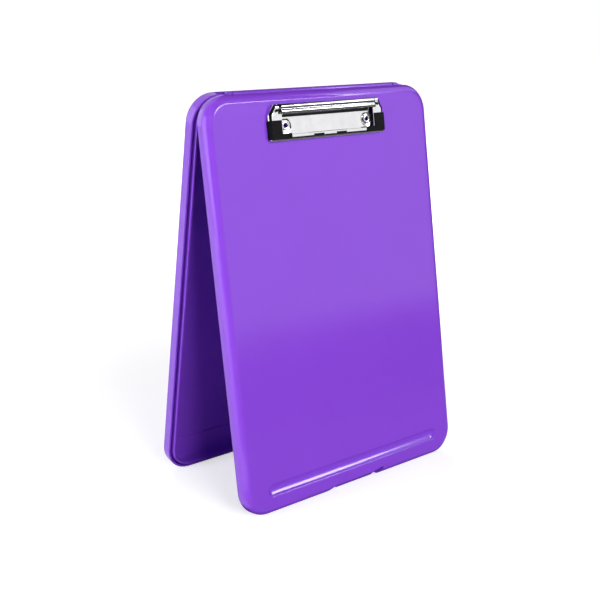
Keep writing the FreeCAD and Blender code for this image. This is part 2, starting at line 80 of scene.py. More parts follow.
class BoxShellSizes(bpy.types.PropertyGroup):
    """Sizes of the two plastic shells, in the board's own frame"""

    width: length("Board width", "Across the board", 240.0)
    height: length("Board height", "From the bottom edge to the hinged edge", 340.0)
    corner: length("Corner radius", "Round corners of the board's outline", 23.0)
    rim_gap: length("Rim gap", "Space between the shells' rims when shut", 0.3)
    tray_depth: length("Tray depth", "Depth of the back shell", 12.0)
    tray_edge: length("Tray edge radius", "Rounding of the back shell's outer edge", 4.5)
    lip: length("Lip", "Thickness of the tray's outer lip", 1.6)
    channel: length("Channel width", "Width of the dust channel inside the lip", 2.1)
    channel_depth: length("Channel depth", "Depth of the dust channel", 5.0)
    ridge: length("Ridge", "Thickness of the inner ridge", 2.0)
    ridge_height: length("Ridge height", "How far the ridge stands above the rim", 2.3)
    ridge_rounding: length("Ridge rounding", "Rounding of the ridge's crest", 0.6)
    floor: length("Floor", "Thickness of the tray's floor", 2.4)
    pocket_rounding: length("Pocket rounding", "Rounding where the pocket's walls meet its floor", 3.0)
    panel_depth: length("Panel depth", "Step down to the sunk panel in the floor", 0.7)
    panel_side: length("Panel side margin", "From the pocket's side wall to the sunk panel", 4.5)
    panel_end: length("Panel end margin", "From the pocket's end wall to the sunk panel", 20.0)
    panel_radius: length("Panel radius", "Round corners of the sunk panel", 9.0)
    cover_depth: length("Cover depth", "Depth of the front shell", 12.0)
    cover_edge: length("Cover edge radius", "Rounding of the front shell's outer edge", 7.5)
    cover_wall: length("Cover wall", "Thickness of the front shell's side wall", 2.0)
    cover_face: length("Cover face", "Thickness of the writing face", 2.2)
    cover_inner: length("Cover inner rounding", "Rounding inside the front shell", 5.2)
    soft: length("Edge softness", "Rounding of moulded edges", 0.35)


class BoxTroughSizes(bpy.types.PropertyGroup):
    """Sizes of the pen trough near the cover's bottom edge"""

    centre: length("Centre", "Height of the trough's middle above the bottom edge", 20.0)
    reach: length("Half length", "From the middle of the board to the trough's end", 97.6)
    width: length("Width", "Width of the trough", 10.4)
    depth: length("Depth", "Depth of the trough", 2.8)
    wall: length("Wall", "Thickness of the plastic under the trough", 1.8)
    rounding: length("Lip rounding", "Rounding where the trough meets the face", 0.7)


class BoxNotchSizes(bpy.types.PropertyGroup):
    """Sizes of the finger notch, the wall and the slope behind it, its window and the latch"""

    height: length("Height", "Height of the notch", 4.8)
    left_foot: length("Left foot", "Left end of the notch on the edge", 35.0)
    left_top: length("Left top", "Left end of the notch's top", 24.5)
    right_top: length("Right top", "Right end of the notch's top", 16.5)
    right_bend: length("Right bend", "Where the right flank turns flatter", 24.0)
    bend_height: length("Bend height", "Height of that turn", 1.2)
    right_foot: length("Right foot", "Right end of the notch on the edge", 36.0)
    tongue: length("Tongue", "Thickness of the set-back wall", 1.8)
    slope_drop: length("Slope drop", "How far the slope under the notch reaches down", 3.6)
    slope_run: length("Slope run", "How far that slope reaches back", 4.6)
    slope_start: length("Slope start", "From the cover's face to the slope's upper edge", 0.4)
    tongue_gap: length("Tongue gap", "From the tongue's end to the notch's flank", 1.5)
    window_left: length("Window left", "Left end of the small window", 20.0)
    window_right: length("Window right", "Right end of the small window", 30.5)
    window_bottom: length("Window bottom", "Height of the window's lower edge", 3.0)
    window_height: length("Window height", "Height of the window", 3.4)
    hook_reach: length("Hook half width", "Half the width of the latch's hook", 8.0)
    hook: length("Hook", "Thickness of the hook", 1.6)
    hook_drop: length("Hook drop", "How far the hook reaches past the rim", 0.8)
    hook_bead: length("Hook bead", "Radius of the bead on the hook", 0.35)
    catch_bead: length("Catch bead", "Radius of the bead on the tray's ridge", 0.45)
    catch_height: length("Catch height", "Height of that bead above the rim", 1.2)
    gap: length("Running gap", "Space between the hook's bead and the ridge's", 0.35)


class BoxHingeSizes(bpy.types.PropertyGroup):
    """Sizes of the hinge along the top edge"""

    forward: length("Forward", "Height of the axis above the rims' plane", 3.0)
    above: length("Above", "From the board's top edge to the axis", 0.2)
    barrel: length("Barrel radius", "Radius of the cover's hinge barrel", 2.2)
    margin: length("Barrel margin", "From the board's side to the barrel's end", 34.0)
    lug_gap: length("Lug gap", "Space between the barrel and a lug", 0.9)
    lug: length("Lug length", "Length of a lug along the axis", 5.1)
    lug_root: length("Lug root", "How far a lug reaches down the tray's wall", 3.0)
    lug_thickness: length("Lug thickness", "Thickness of a lug's root", 2.0)
    pin: length("Pin radius", "Radius of the hinge pin", 0.9)
    pin_in_barrel: length("Pin in barrel", "How deep the pin reaches into the barrel", 8.0)
    pin_recess: length("Pin recess", "How far the pin's end sits inside its lug", 0.6)
    clearance: length("Pin clearance", "Space round the pin in the barrel", 0.05)
    bore_rest: length("Bore rest", "How far the barrel's bore runs on behind the pin", 0.5)
    pin_rounding: length("Pin rounding", "Rounding of the ends of the pins and of the clip's rod", 0.25)
    lug_softness: length("Lug softness", "Rounding of a lug's edges", 0.2)


class BoxClipSizes(bpy.types.PropertyGroup):
    """Sizes of the sprung clip, measured down from the cover's top edge and up from its face"""

    steel: length("Steel", "Thickness of the clip's sheet", 0.9)
    half_width: length("Half width", "Half the width of the clip", 62.1)
    top: length("Top", "From the cover's top edge to the clip", 10.3)
    bottom: length("Bottom", "From the cover's top edge to the clip's lip", 39.9)
    chamfer_across: length("Chamfer across", "Width of the cut corners", 5.4)
    chamfer_down: length("Chamfer down", "Height of the cut corners", 8.2)
    chamfer_round: length("Chamfer rounding", "Rounding of the cut corners' ends", 0.9)
    corner: length("Corner radius", "Round lower corners", 3.0)
    height: length("Arm height", "Height of the arms above the face", 4.2)
    arm_width: length("Arm width", "Width of an arm", 12.8)
    rounding: length("Arm rounding", "Height of the rounding of the arms' outer edge", 2.4)
    spread: FloatProperty(
        name="Rounding spread", description="Width of that rounding as a share of its height",
        default=1.55, min=0.5,
    )
    flat: length("Flat", "How far the sheet's flat runs on inside the rounding", 0.5)
    hem: length("Hem", "Step of the small rolled edges at the skirt's foot and round the window", 0.2)
    window_corner: length("Window corner", "Round lower corners of the window inside the frame", 1.2)
    bend: length("Bent length", "Length of the arms' bent ends", 7.0)
    bend_rise: length("Bend rise", "How far the arms' ends bend up towards the press bar", 1.3)
    bar_inset: length("Bar inset", "From the clip's side to the press bar's end", 8.6)
    bar_foot: length("Bar foot", "Height of the press bar's front edge", 3.0)
    bar_heel: length("Bar heel", "Height of the press bar's rear edge", 3.8)
    bar_fade: length("Bar fade", "Length over which the ridges fade into an arm", 3.2)
    bar_sink: length("Bar sink", "How far the press bar's ends lie inside the arm's sheet", 0.1)
    ridge: length("Ridge radius", "Radius of the two pressed ridges", 2.05)
    pitch: length("Ridge pitch", "From one ridge to the next", 3.9)
    ridge_height: length("Ridge height", "Height of the ridges' centres", 4.3)
    skirt: length("Skirt foot", "Height of the skirt above the face at the rod", 0.6)
    lip_gap: length("Lip gap", "Height of the lip above the face", 0.35)
    strip: length("Strip width", "Width of the jaw strip", 5.3)
    slot_inner: length("Slot inner end", "From the middle to a slot", 6.6)
    slot_outer: length("Slot outer end", "From the middle to a slot's far end", 18.0)
    slot_rise: length("Slot rise", "From the lip to a slot's upper edge", 4.1)
    slot_width: length("Slot width", "Width of a slot", 1.4)
    slot_corner: length("Slot corner", "Round corners of a slot", 0.45)
    # Painted shade: the dark sheet behind the jaw strip's slots stands in for the shadow seen through them.
    shade_liner: length("Liner", "Thickness of the dark liner behind the slots", 0.4)
    ear: length("Ear radius", "Radius of the ears that turn on the rod", 1.5)
    ear_inset: length("Ear inset", "From the arm's inner edge to the ear", 2.1)
    ear_rise: length("Ear rise", "Height of an ear above the rod", 2.5)
    ear_softness: length("Ear softness", "Rounding of an ear's edges", 0.12)
    rod_below: length("Rod below top", "From the clip's top to the rod", 4.2)
    rod_up: length("Rod height", "Height of the rod above the face", 2.7)
    rod: length("Rod radius", "Radius of the rod", 0.9)
    rod_beyond: length("Rod end", "How far the rod stands out of an ear", 0.5)


class BoxPlateSizes(bpy.types.PropertyGroup):
    """Sizes of the plate under the clip, the rivets and their washers"""

    thickness: length("Plate thickness", "Thickness of the plate", 0.8)
    softness: length("Plate softness", "Rounding of the plate's edges", 0.15)
    side_inset: length("Side inset", "From the clip's side to the plate's end", 8.1)
    above_rod: length("Above rod", "From the rod to the plate's upper edge", 1.5)
    bottom_inset: length("Bottom inset", "From the clip's lip to the plate's lower edge", 4.4)
    corner: length("Plate corner radius", "Round corners of the plate", 2.0)
    ramp: length("Ramp", "How far the plate's ramp reaches below the press bar", 4.2)
    ramp_rise: length("Ramp rise", "How far the plate rises towards the knuckles", 1.15)
    knuckle_wall: length("Knuckle wall", "Thickness of a knuckle", 0.6)
    knuckle_play: length("Knuckle play", "Space between the rod and a knuckle", 0.03)
    knuckle_inner: length("Inner knuckle", "From the middle to the inner knuckles", 12.0)
    knuckle_outer: length("Outer knuckle", "From the middle to the outer knuckles", 38.0)
    knuckle_length: length("Knuckle length", "Length of a knuckle", 8.0)
    dish: length("Dish radius", "Outer radius of the round dish at a rivet", 5.9)
    dish_floor: length("Dish floor radius", "Radius of the dish's floor", 4.7)
    dish_depth: length("Dish depth", "Depth of the dish", 0.45)
    dish_roll: length("Dish roll", "Width of the rolled edges at the dish's rim and floor", 0.5)
    dish_seat: length("Dish seat", "Height of the dish's underside above the cover", 0.02)
    rivet_side: length("Rivet side inset", "From the clip's side to a rivet", 17.9)
    rivet_bottom: length("Rivet bottom inset", "From the clip's lip to a rivet", 12.4)
    rivet: length("Rivet radius", "Radius of a rivet's shank", 2.2)
    bore: length("Rivet bore", "Radius of a rivet's bore", 1.6)
    clearance: length("Rivet clearance", "Space round a rivet's shank", 0.1)
    head: length("Head radius", "Radius of a rivet's head", 3.8)
    head_height: length("Head height", "Height of a rivet's head", 0.95)
    head_side: length("Head side", "Height of the straight side below the rolled head", 0.25)
    tail: length("Tail radius", "Radius of a rivet's rolled tail", 3.4)
    tail_height: length("Tail height", "Height of a rivet's rolled tail", 0.7)
    washer: length("Washer radius", "Radius of a washer", 5.0)
    washer_thickness: length("Washer thickness", "Thickness of a washer", 0.8)
    washer_softness: length("Washer softness", "Rounding of a washer's edges", 0.12)


class BoxSpringSizes(bpy.types.PropertyGroup):
    """Sizes of the two coil springs round the rod"""

    wire: length("Wire radius", "Radius of the spring's wire", 0.3)
    coil: length("Coil radius", "From the rod's axis to the wire's middle", 1.35)
    pitch: length("Pitch", "Step from one turn to the next", 1.05)
    turns: IntProperty(name="Turns", description="Whole turns of a spring", default=4, min=1)
    inner_end: length("Inner end", "From the middle to a spring's first turn", 25.0)
    upper_leg: length("Upper leg", "Length of the leg under the press bar", 3.15)
    lower_leg: length("Lower leg", "Length of the leg on the plate", 2.4)
    upper_angle: FloatProperty(
        name="Upper leg angle", description="Where the coil leaves for the upper leg",
        default=math.radians(215.0), subtype="ANGLE",
    )
    lower_angle: FloatProperty(
        name="Lower leg angle", description="Where the coil leaves for the lower leg",
        default=math.radians(265.0), subtype="ANGLE",
    )


class BoxColours(bpy.types.PropertyGroup):
    """Colours of the finishes"""

    plastic: colour("Plastic", "Moulded purple plastic", (0.24, 0.06, 0.67))
    chrome: colour("Chrome", "Bright plated steel of the clip", (0.83, 0.83, 0.85))
    steel: colour("Steel", "Rod, pins and washers", (0.56, 0.56, 0.58))
    spring: colour("Spring steel", "Wire of the springs", (0.36, 0.36, 0.38))
    rubber: colour("Rubber", "Grips on the clip's corners", (0.006, 0.006, 0.007))
    floor: colour("Floor", "Pale studio floor", (0.66, 0.66, 0.67))


# Surfaces

# Steps round a corner and along a side of the shells' outlines. All rows of a shell have the same number.
CORNER_STEPS = 24
SIDE_STEPS = 4


def offset_rings(corners, radii, insets, arc_steps, side_steps, closed=True):
    """Rows of points along a convex outline, each row drawn in by its inset.

    Every side moves inwards by the inset, so neighbouring sides meet at
    corner + (n1 + n2) * inset / (1 + n1.n2), with n1 and n2 the sides' inward normals.
    The corner is rounded by its radius less the inset, or stays sharp where that is used up.
    An open outline keeps its first and last points, moved along their side's normal.
    """
    corners = np.asarray(corners, float)
    insets = np.atleast_1d(np.asarray(insets, float))
    count = len(corners)
    following = np.roll(corners, -1, axis=0)
    ways = following - corners
    ways /= np.maximum(np.linalg.norm(ways, axis=1, keepdims=True), 1e-12)
    before = np.roll(ways, 1, axis=0)
    normal_in = np.stack([-before[:, 1], before[:, 0]], axis=1)
    normal_out = np.stack([-ways[:, 1], ways[:, 0]], axis=1)
    meeting = (normal_in + normal_out) / (1 + (normal_in * normal_out).sum(1, keepdims=True))
    turn = np.arctan2(before[:, 0] * ways[:, 1] - before[:, 1] * ways[:, 0], (before * ways).sum(1))
    miter = corners[None] + meeting[None] * insets[:, None, None]
    radius = np.maximum(np.asarray(radii, float)[None] - insets[:, None], 0.0)
    start = miter - before[None] * (radius * np.tan(turn / 2))[..., None]
    centre = start + normal_in[None] * radius[..., None]
    angle = (turn[None, :, None] * np.linspace(0, 1, arc_steps + 1)[None, None])[..., None]
    spoke = before[None, :, None] * np.sin(angle) - normal_in[None, :, None] * np.cos(angle)
    arc = centre[:, :, None] + radius[:, :, None, None] * spoke
    if not closed:
        first = corners[0] + normal_out[0] * insets[:, None]
        last = corners[-1] + normal_in[-1] * insets[:, None]
        arc[:, 0] = first[:, None]
        arc[:, -1] = last[:, None]
    onward = np.roll(arc[:, :, 0], -1, axis=1)
    shares = np.linspace(0, 1, side_steps + 1)[1:-1]
    leaving = arc[:, :, -1]
    side = leaving[:, :, None] + (onward - leaving)[:, :, None] * shares[None, None, :, None]
    rows = np.concatenate([arc, side], axis=2).reshape(len(insets), -1, 2)
    if closed:
        return rows
    kept = slice(arc_steps, count * (arc_steps + side_steps) - arc_steps - side_steps + 1)
    return rows[:, kept]


def box_corners(left, bottom, right, top):
    """The corners of a rectangle, anticlockwise from the lower left."""
    return [(left, bottom), (right, bottom), (right, top), (left, top)]


def board_rings(sizes, insets):
    """Rows along the board's rounded outline, each drawn in by its inset."""
    side = sizes.width / 2
    corners = box_corners(-side, 0.0, side, sizes.height)
    return offset_rings(corners, [sizes.corner] * 4, insets, CORNER_STEPS, SIDE_STEPS)


def rounded_box(corners, radius, steps):
    """The outline of a rectangle with four round corners."""
    return offset_rings(corners, [radius] * 4, [0.0], arc_steps=steps, side_steps=1)[0]


def quarter(centre, radius, start, end, steps):
    """Points of an arc about centre, from one angle to another in degrees, as (across, height)."""
    angle = np.radians(np.linspace(start, end, steps + 1))
    return np.stack([centre[0] + radius * np.cos(angle), centre[1] + radius * np.sin(angle)], axis=1)


def one_line(parts):
    """Points and arcs, one after the other, as one row of points."""
    return np.concatenate([np.asarray(part, float).reshape(-1, 2) for part in parts])


def smooth(share):
    """A smooth step from nought to one: 3 s^2 - 2 s^3."""
    return share * share * (3 - 2 * share)


def raised(rings, heights):
    """Gives each row of rings its height."""
    heights = np.broadcast_to(np.asarray(heights, float).reshape(-1, 1, 1), rings.shape[:2] + (1,))
    return np.concatenate([rings, heights], axis=2)


def surface(name, grid, wrap_rows=False, wrap_columns=True, cap_first=False, cap_last=False):
    """A mesh from a grid of points, in which each point joins its neighbours in row and column.

    A wrapped side joins its start. A cap closes the first or last row with one flat face.
    """
    rows, columns = grid.shape[:2]
    index = np.arange(rows * columns).reshape(rows, columns)
    if wrap_rows:
        index = np.vstack([index, index[:1]])
    if wrap_columns:
        index = np.hstack([index, index[:, :1]])
    quads = np.stack([index[:-1, :-1], index[:-1, 1:], index[1:, 1:], index[1:, :-1]], axis=-1).reshape(-1, 4)
    faces = quads.tolist()
    if cap_first:
        faces.append(list(range(columns))[::-1])
    if cap_last:
        faces.append(list(range((rows - 1) * columns, rows * columns)))
    mesh = bpy.data.meshes.new(name)
    mesh.from_pydata(grid.reshape(-1, 3), [], faces)
    return mesh


def turned(name, profile, steps=64):
    """A mesh of revolution about Z.

    Profile point (r, z) goes to (r cos a, r sin a, z), for angles a all the way round.
    """
    angle = np.linspace(0, 2 * np.pi, steps, endpoint=False)
    profile = np.asarray(profile, float)
    grid = np.stack(
        [
            profile[:, :1] * np.cos(angle),
            profile[:, :1] * np.sin(angle),
            np.broadcast_to(profile[:, 1:], (len(profile), steps)),
        ],
        axis=2,
    )
    closed_profile = profile[0, 0] > 0 and profile[-1, 0] > 0
    return surface(name, grid, wrap_rows=closed_profile)


def extruded(name, outline, low, high):
    """A prism along Z between two heights, from an outline of (x, y)."""
    outline = np.asarray(outline, float)
    grid = np.stack([np.column_stack([outline, np.full(len(outline), level)]) for level in (low, high)])
    return surface(name, grid, cap_first=True, cap_last=True)


def extruded_along_x(name, outline, low, high):
    """A prism along X between two places, from an outline of (y, z)."""
    prism = extruded(name, outline, low, high)
    prism.transform(Matrix(((0, 0, 1, 0), (1, 0, 0, 0), (0, 1, 0, 0), (0, 0, 0, 1))))
    return prism


def drill(radius, low, high, placing, steps):
    """A round bar about Z between two heights, placed where it bores a hole."""
    bar = turned("drill", [(0, low), (radius, low), (radius, high), (0, high)], steps)
    bar.transform(placing)
    return bar


def tube(name, path, ways, radius, sides=20):
    """A round tube along a path whose direction never runs along X.

    Each ring's two axes are the unit vectors way x X and way x (way x X).
    """
    first = np.cross(ways, [1.0, 0.0, 0.0])
    first /= np.linalg.norm(first, axis=1, keepdims=True)
    second = np.cross(ways, first)
    angle = np.linspace(0, 2 * np.pi, sides, endpoint=False)
    ring = first[:, None] * np.cos(angle)[None, :, None] + second[:, None] * np.sin(angle)[None, :, None]
    return surface(name, path[:, None] + radius * ring, cap_first=True, cap_last=True)


# Placing and finishing

# Points closer than this are one point.
SAME_PLACE = 1e-7


def board_to_room(lean):
    """The placing of a shell: from the hinge's axis, tipped upright by the lean, and lifted to the hinge."""
    sizes = bpy.context.scene.box_shells
    hinge = bpy.context.scene.box_hinge
    return (
        Matrix.Translation((0, 0, HINGE_HEIGHT))
        @ Matrix.Rotation(math.pi / 2 + lean, 4, "X")
        @ Matrix.Translation((0, -sizes.height - hinge.above, -hinge.forward))
    )


def clip_to_room():
    """The placing of the clip's pieces, drawn from the cover's top edge and face, with Y up the board."""
    sizes = bpy.context.scene.box_shells
    return board_to_room(COVER_LEAN) @ Matrix.Translation((0, sizes.height, sizes.cover_depth))


def along_x(centre):
    """The placing that turns a piece drawn about Z onto an axis along X through a centre."""
    return Matrix.Translation(centre) @ Matrix.Rotation(math.pi / 2, 4, "Y")


def cleaned(mesh):
    """Merges doubles and turns every face outwards."""
    work = bmesh.new()
    work.from_mesh(mesh)
    bmesh.ops.remove_doubles(work, verts=work.verts, dist=SAME_PLACE)
    bmesh.ops.dissolve_degenerate(work, edges=work.edges, dist=SAME_PLACE / 10)
    bmesh.ops.recalc_face_normals(work, faces=work.faces)
    work.to_mesh(mesh)
    work.free()
    return mesh


def cut(mesh, *tools):
    """Cuts tool meshes out of a mesh."""
    body = bpy.data.objects.new("cut_body", cleaned(mesh))
    bpy.context.scene.collection.objects.link(body)
    helpers = []
    for tool in tools:
        helper = bpy.data.objects.new("cut_tool", cleaned(tool))
        bpy.context.scene.collection.objects.link(helper)
        modifier = body.modifiers.new("cut", "BOOLEAN")
        modifier.object = helper
        modifier.operation = "DIFFERENCE"
        modifier.solver = "EXACT"
        helpers.append(helper)
    evaluated = body.evaluated_get(bpy.context.evaluated_depsgraph_get())
    result = bpy.data.meshes.new_from_object(evaluated)
    for helper in helpers + [body]:
        bpy.data.objects.remove(helper)
    return result


def piece(name, mesh, placing, body, slot, finish, replaced=(), soft=0.0, crease=35.0):
    """Makes a placed, shaded piece that rides on a body. Soft rounds its sharp edges by that width."""
    cleaned(mesh)
    mesh.transform(placing)
    mesh.name = name
    mesh.shade_smooth()
    mesh.set_sharp_from_angle(angle=math.radians(crease))
    made = bpy.data.objects.new(name, mesh)
    bpy.context.scene.collection.objects.link(made)
    mesh.materials.append(finish)
    if soft > 0:
        rounding = made.modifiers.new("soft_edges", "BEVEL")
        rounding.width = soft
        rounding.segments = 2
        rounding.limit_method = "ANGLE"
        rounding.angle_limit = math.radians(crease)
        rounding.harden_normals = True
    normals = made.modifiers.new("shading", "WEIGHTED_NORMAL")
    normals.keep_sharp = True
    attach(made, body)
    if replaced:
        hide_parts(*replaced)


# Finishes


class Nodes:
    """A node tree under construction, with short ways to add and link its nodes."""

    def __init__(self, tree):
        self.nodes = tree.nodes
        self.links = tree.links

    def add(self, kind, inputs=None, **settings):
        """A node with its settings and the values or links of its inputs."""
        node = self.nodes.new(kind)
        for key, value in settings.items():
            setattr(node, key, value)
        for key, value in (inputs or {}).items():
            self.feed(node.inputs[key], value)
        return node

    def feed(self, socket, value):
        """Sets a socket, or links it when the value is another node's output."""
        if isinstance(value, bpy.types.NodeSocket):
            self.links.new(value, socket)
        else:
            socket.default_value = value

    def maths(self, operation, *values):
        """The result of a maths node."""
        return self.add("ShaderNodeMath", dict(enumerate(values)), operation=operation).outputs[0]

    def seen(self):
        """One for rays of the camera, of gloss and through clear things, and nought for the rest."""
        rays = self.add("ShaderNodeLightPath").outputs
        direct = self.maths("MAXIMUM", rays["Is Camera Ray"], rays["Is Glossy Ray"])
        return self.maths("MAXIMUM", direct, rays["Is Transmission Ray"])


class Finish(Nodes):
    """A material under construction."""

    def __init__(self, name):
        self.material = bpy.data.materials.new(name)
        self.material.use_nodes = True
        super().__init__(self.material.node_tree)
        self.shader = self.nodes["Principled BSDF"]
        self.place = self.add("ShaderNodeTexCoord").outputs["Object"]

    def stretched(self, scale):
        """Object coordinates, stretched by a scale along each axis."""
        return self.add("ShaderNodeMapping", {"Vector": self.place, "Scale": scale}).outputs["Vector"]

    def noise(self, scale, detail, roughness=0.55, where=None):
        """Noise with features of about one over scale metres."""
        inputs = {"Vector": where or self.place, "Scale": scale, "Detail": detail, "Roughness": roughness}
        return self.add("ShaderNodeTexNoise", inputs).outputs["Fac"]

    def spread(self, value, low, high, start=0.3, end=0.7):
        """Maps a value from start..end to low..high."""
        inputs = {"Value": value, "From Min": start, "From Max": end, "To Min": low, "To Max": high}
        return self.add("ShaderNodeMapRange", inputs).outputs["Result"]

    def blend(self, share, first, second):
        """Mixes two colours."""
        inputs = {0: share, 6: first, 7: second}
        return self.add("ShaderNodeMix", inputs, data_type="RGBA").outputs[2]

    def bump(self, height, depth, after=None):
        """A bump from a height, with its real depth in millimetres, on top of another bump."""
        inputs = {"Height": height, "Distance": depth * MM, "Strength": 1.0}
        if after is not None:
            inputs["Normal"] = after
        return self.add("ShaderNodeBump", inputs).outputs["Normal"]

    def set(self, **values):
        """Sets the shader's inputs, named with underscores for spaces."""
        for key, value in values.items():
            self.feed(self.shader.inputs[key.replace("_", " ")], value)


def tinted(tone, factor):
    """A colour scaled in brightness, with its alpha."""
    return tuple(min(1.0, channel * factor) for channel in tone) + (1.0,)


def moulded_plastic(name, tone):
    """Glossy injection-moulded plastic: faint flow clouds, a fine eggshell skin and hairline scuffs."""
    finish = Finish(name)
    clouds = finish.spread(finish.noise(scale=14.0, detail=3.0), low=0.0, high=1.0)
    finish.set(Base_Color=finish.blend(clouds, tinted(tone, 0.985), tinted(tone, 1.015)))
    scratches = finish.stretched((0.12, 3.0, 1.2))
    scuffs = finish.noise(scale=260.0, detail=2.0, roughness=0.6, where=scratches)
    smears = finish.spread(finish.noise(scale=30.0, detail=4.0, roughness=0.6), low=0.08, high=0.12)
    worn = finish.spread(scuffs, low=0.0, high=0.03, start=0.6, end=0.75)
    finish.set(Roughness=finish.maths("ADD", smears, worn))
    skin = finish.bump(finish.noise(scale=900.0, detail=3.0), depth=0.002)
    waves = finish.bump(finish.noise(scale=16.0, detail=1.0), depth=0.05, after=skin)
    finish.set(Normal=waves, IOR=1.49, Specular_IOR_Level=0.5)
    return finish.material


def plated_chrome(name, tone):
    """Bright plating on pressed sheet: slight waviness, fine polish haze."""
    finish = Finish(name)
    clouds = finish.spread(finish.noise(scale=90.0, detail=3.0), low=0.0, high=1.0)
    finish.set(Base_Color=finish.blend(clouds, tinted(tone, 0.95), tinted(tone, 1.03)))
    polish = finish.stretched((0.3, 2.0, 1.0))
    haze = finish.noise(scale=420.0, detail=4.0, roughness=0.6, where=polish)
    finish.set(Metallic=1.0, Roughness=finish.spread(haze, low=0.04, high=0.10))
    waves = finish.bump(finish.noise(scale=140.0, detail=2.0), depth=0.010)
    finish.set(Normal=finish.bump(finish.noise(scale=2200.0, detail=2.0), depth=0.0008, after=waves))
    return finish.material


def drawn_steel(name, tone):
    """Satin steel with fine drawing lines along X."""
    finish = Finish(name)
    lines = finish.noise(scale=2600.0, detail=3.0, roughness=0.6, where=finish.stretched((0.05, 1.0, 1.0)))
    share = finish.spread(lines, low=0.0, high=1.0)
    finish.set(Base_Color=finish.blend(share, tinted(tone, 0.85), tinted(tone, 1.1)))
    finish.set(Metallic=1.0, Roughness=finish.spread(lines, low=0.2, high=0.38))
    finish.set(Normal=finish.bump(lines, depth=0.004))
    return finish.material


def moulded_rubber(name, tone):
    """Near-black rubber with a fine pebble and a faint sheen."""
    finish = Finish(name)
    clouds = finish.spread(finish.noise(scale=160.0, detail=3.0), low=0.0, high=1.0)
    finish.set(Base_Color=finish.blend(clouds, tinted(tone, 0.8), tinted(tone, 1.5)))
    grain = finish.noise(scale=2400.0, detail=2.0, roughness=0.5)
    finish.set(Roughness=finish.spread(grain, low=0.55, high=0.7))
    finish.set(Normal=finish.bump(grain, depth=0.02), Specular_IOR_Level=0.06)
    return finish.material


def finish_named(name):
    """One of the box's finishes, made the first time it is asked for."""
    if name in bpy.data.materials and bpy.data.materials[name].get("ready"):
        return bpy.data.materials[name]
    tones = bpy.context.scene.box_colours
    makers = {
        "purple_plastic": (moulded_plastic, tones.plastic),
        "clip_plating": (plated_chrome, tones.chrome),
        "satin_steel": (drawn_steel, tones.steel),
        "spring_wire": (drawn_steel, tones.spring),
        "grip_skin": (moulded_rubber, tones.rubber),
    }
    maker, tone = makers[name]
    material = maker(name, tone)
    material["ready"] = True
    return material


# The tray


def tray_profile(sizes):
    """The tray's section as rows of (inset from the outline, height): back, wall, channel, ridge, pocket."""
    rim = -sizes.rim_gap / 2
    back = -sizes.tray_depth
    soft = sizes.soft
    wall = sizes.lip
    ridge_outer = wall + sizes.channel
    ridge_inner = ridge_outer + sizes.ridge
    crest = rim + sizes.ridge_height
    channel = rim - sizes.channel_depth
    floor = back + sizes.floor
    edge = sizes.tray_edge
    crown = sizes.ridge_rounding
    hold = 2 * soft
    pocket = sizes.pocket_rounding
    parts = [
        [(edge + hold, back)],
        quarter((edge, back + edge), edge, 270, 180, steps=14),
        [(0, rim - soft - hold)],
        quarter((soft, rim - soft), soft, 180, 90, steps=4),
        quarter((wall - soft, rim - soft), soft, 90, 0, steps=4),
        [(wall, rim - soft - hold), (wall, channel + soft + hold)],
        quarter((wall + soft, channel + soft), soft, 180, 270, steps=4),
        quarter((ridge_outer - soft, channel + soft), soft, 270, 360, steps=4),
        [(ridge_outer, channel + soft + hold), (ridge_outer, crest - crown - hold)],
        quarter((ridge_outer + crown, crest - crown), crown, 180, 90, steps=5),
        quarter((ridge_inner - crown, crest - crown), crown, 90, 0, steps=5),
        [(ridge_inner, crest - crown - hold), (ridge_inner, floor + pocket + hold)],
        quarter((ridge_inner + pocket, floor + pocket), pocket, 180, 270, steps=8),
        [(ridge_inner + pocket + hold, floor)],
    ]
    return one_line(parts)


def tray_surface(sizes):
    """The tray as one closed surface: its section carried round the board, then a step to the sunk panel."""
    profile = tray_profile(sizes)
    rim = raised(board_rings(sizes, profile[:, 0]), profile[:, 1])
    pocket = sizes.lip + sizes.channel + sizes.ridge
    side = sizes.width / 2 - pocket - sizes.panel_side
    end = pocket + sizes.panel_end
    panel = box_corners(-side, end, side, sizes.height - end)
    floor = sizes.floor - sizes.tray_depth
    soft = sizes.soft
    step = np.concatenate(
        [
            [(-2 * soft, floor)],
            quarter((-soft, floor - soft), soft, 90, 0, steps=4),
            quarter((soft, floor - sizes.panel_depth + soft), soft, 180, 270, steps=4),
            [(3 * soft, floor - sizes.panel_depth)],
        ]
    )
    rings = offset_rings(panel, [sizes.panel_radius] * 4, step[:, 0], CORNER_STEPS, SIDE_STEPS)
    grid = np.concatenate([rim, raised(rings, step[:, 1])])
    return surface("tray_shell", grid, cap_first=True, cap_last=True)


def lug_outline(sizes, hinge, steps=24):
    """A lug's section seen along the hinge: a round eye on a root that runs down the tray's top wall."""
    axis = (sizes.height + hinge.above, hinge.forward)
    foot = -sizes.rim_gap / 2 - hinge.lug_root
    inner = sizes.height - hinge.lug_thickness
    start = math.degrees(math.asin(-hinge.above / hinge.barrel))
    eye = quarter(axis, hinge.barrel, start - 90, 180, steps)
    return np.concatenate([[(inner, foot), (sizes.height, foot)], eye, [(inner, hinge.forward)]])


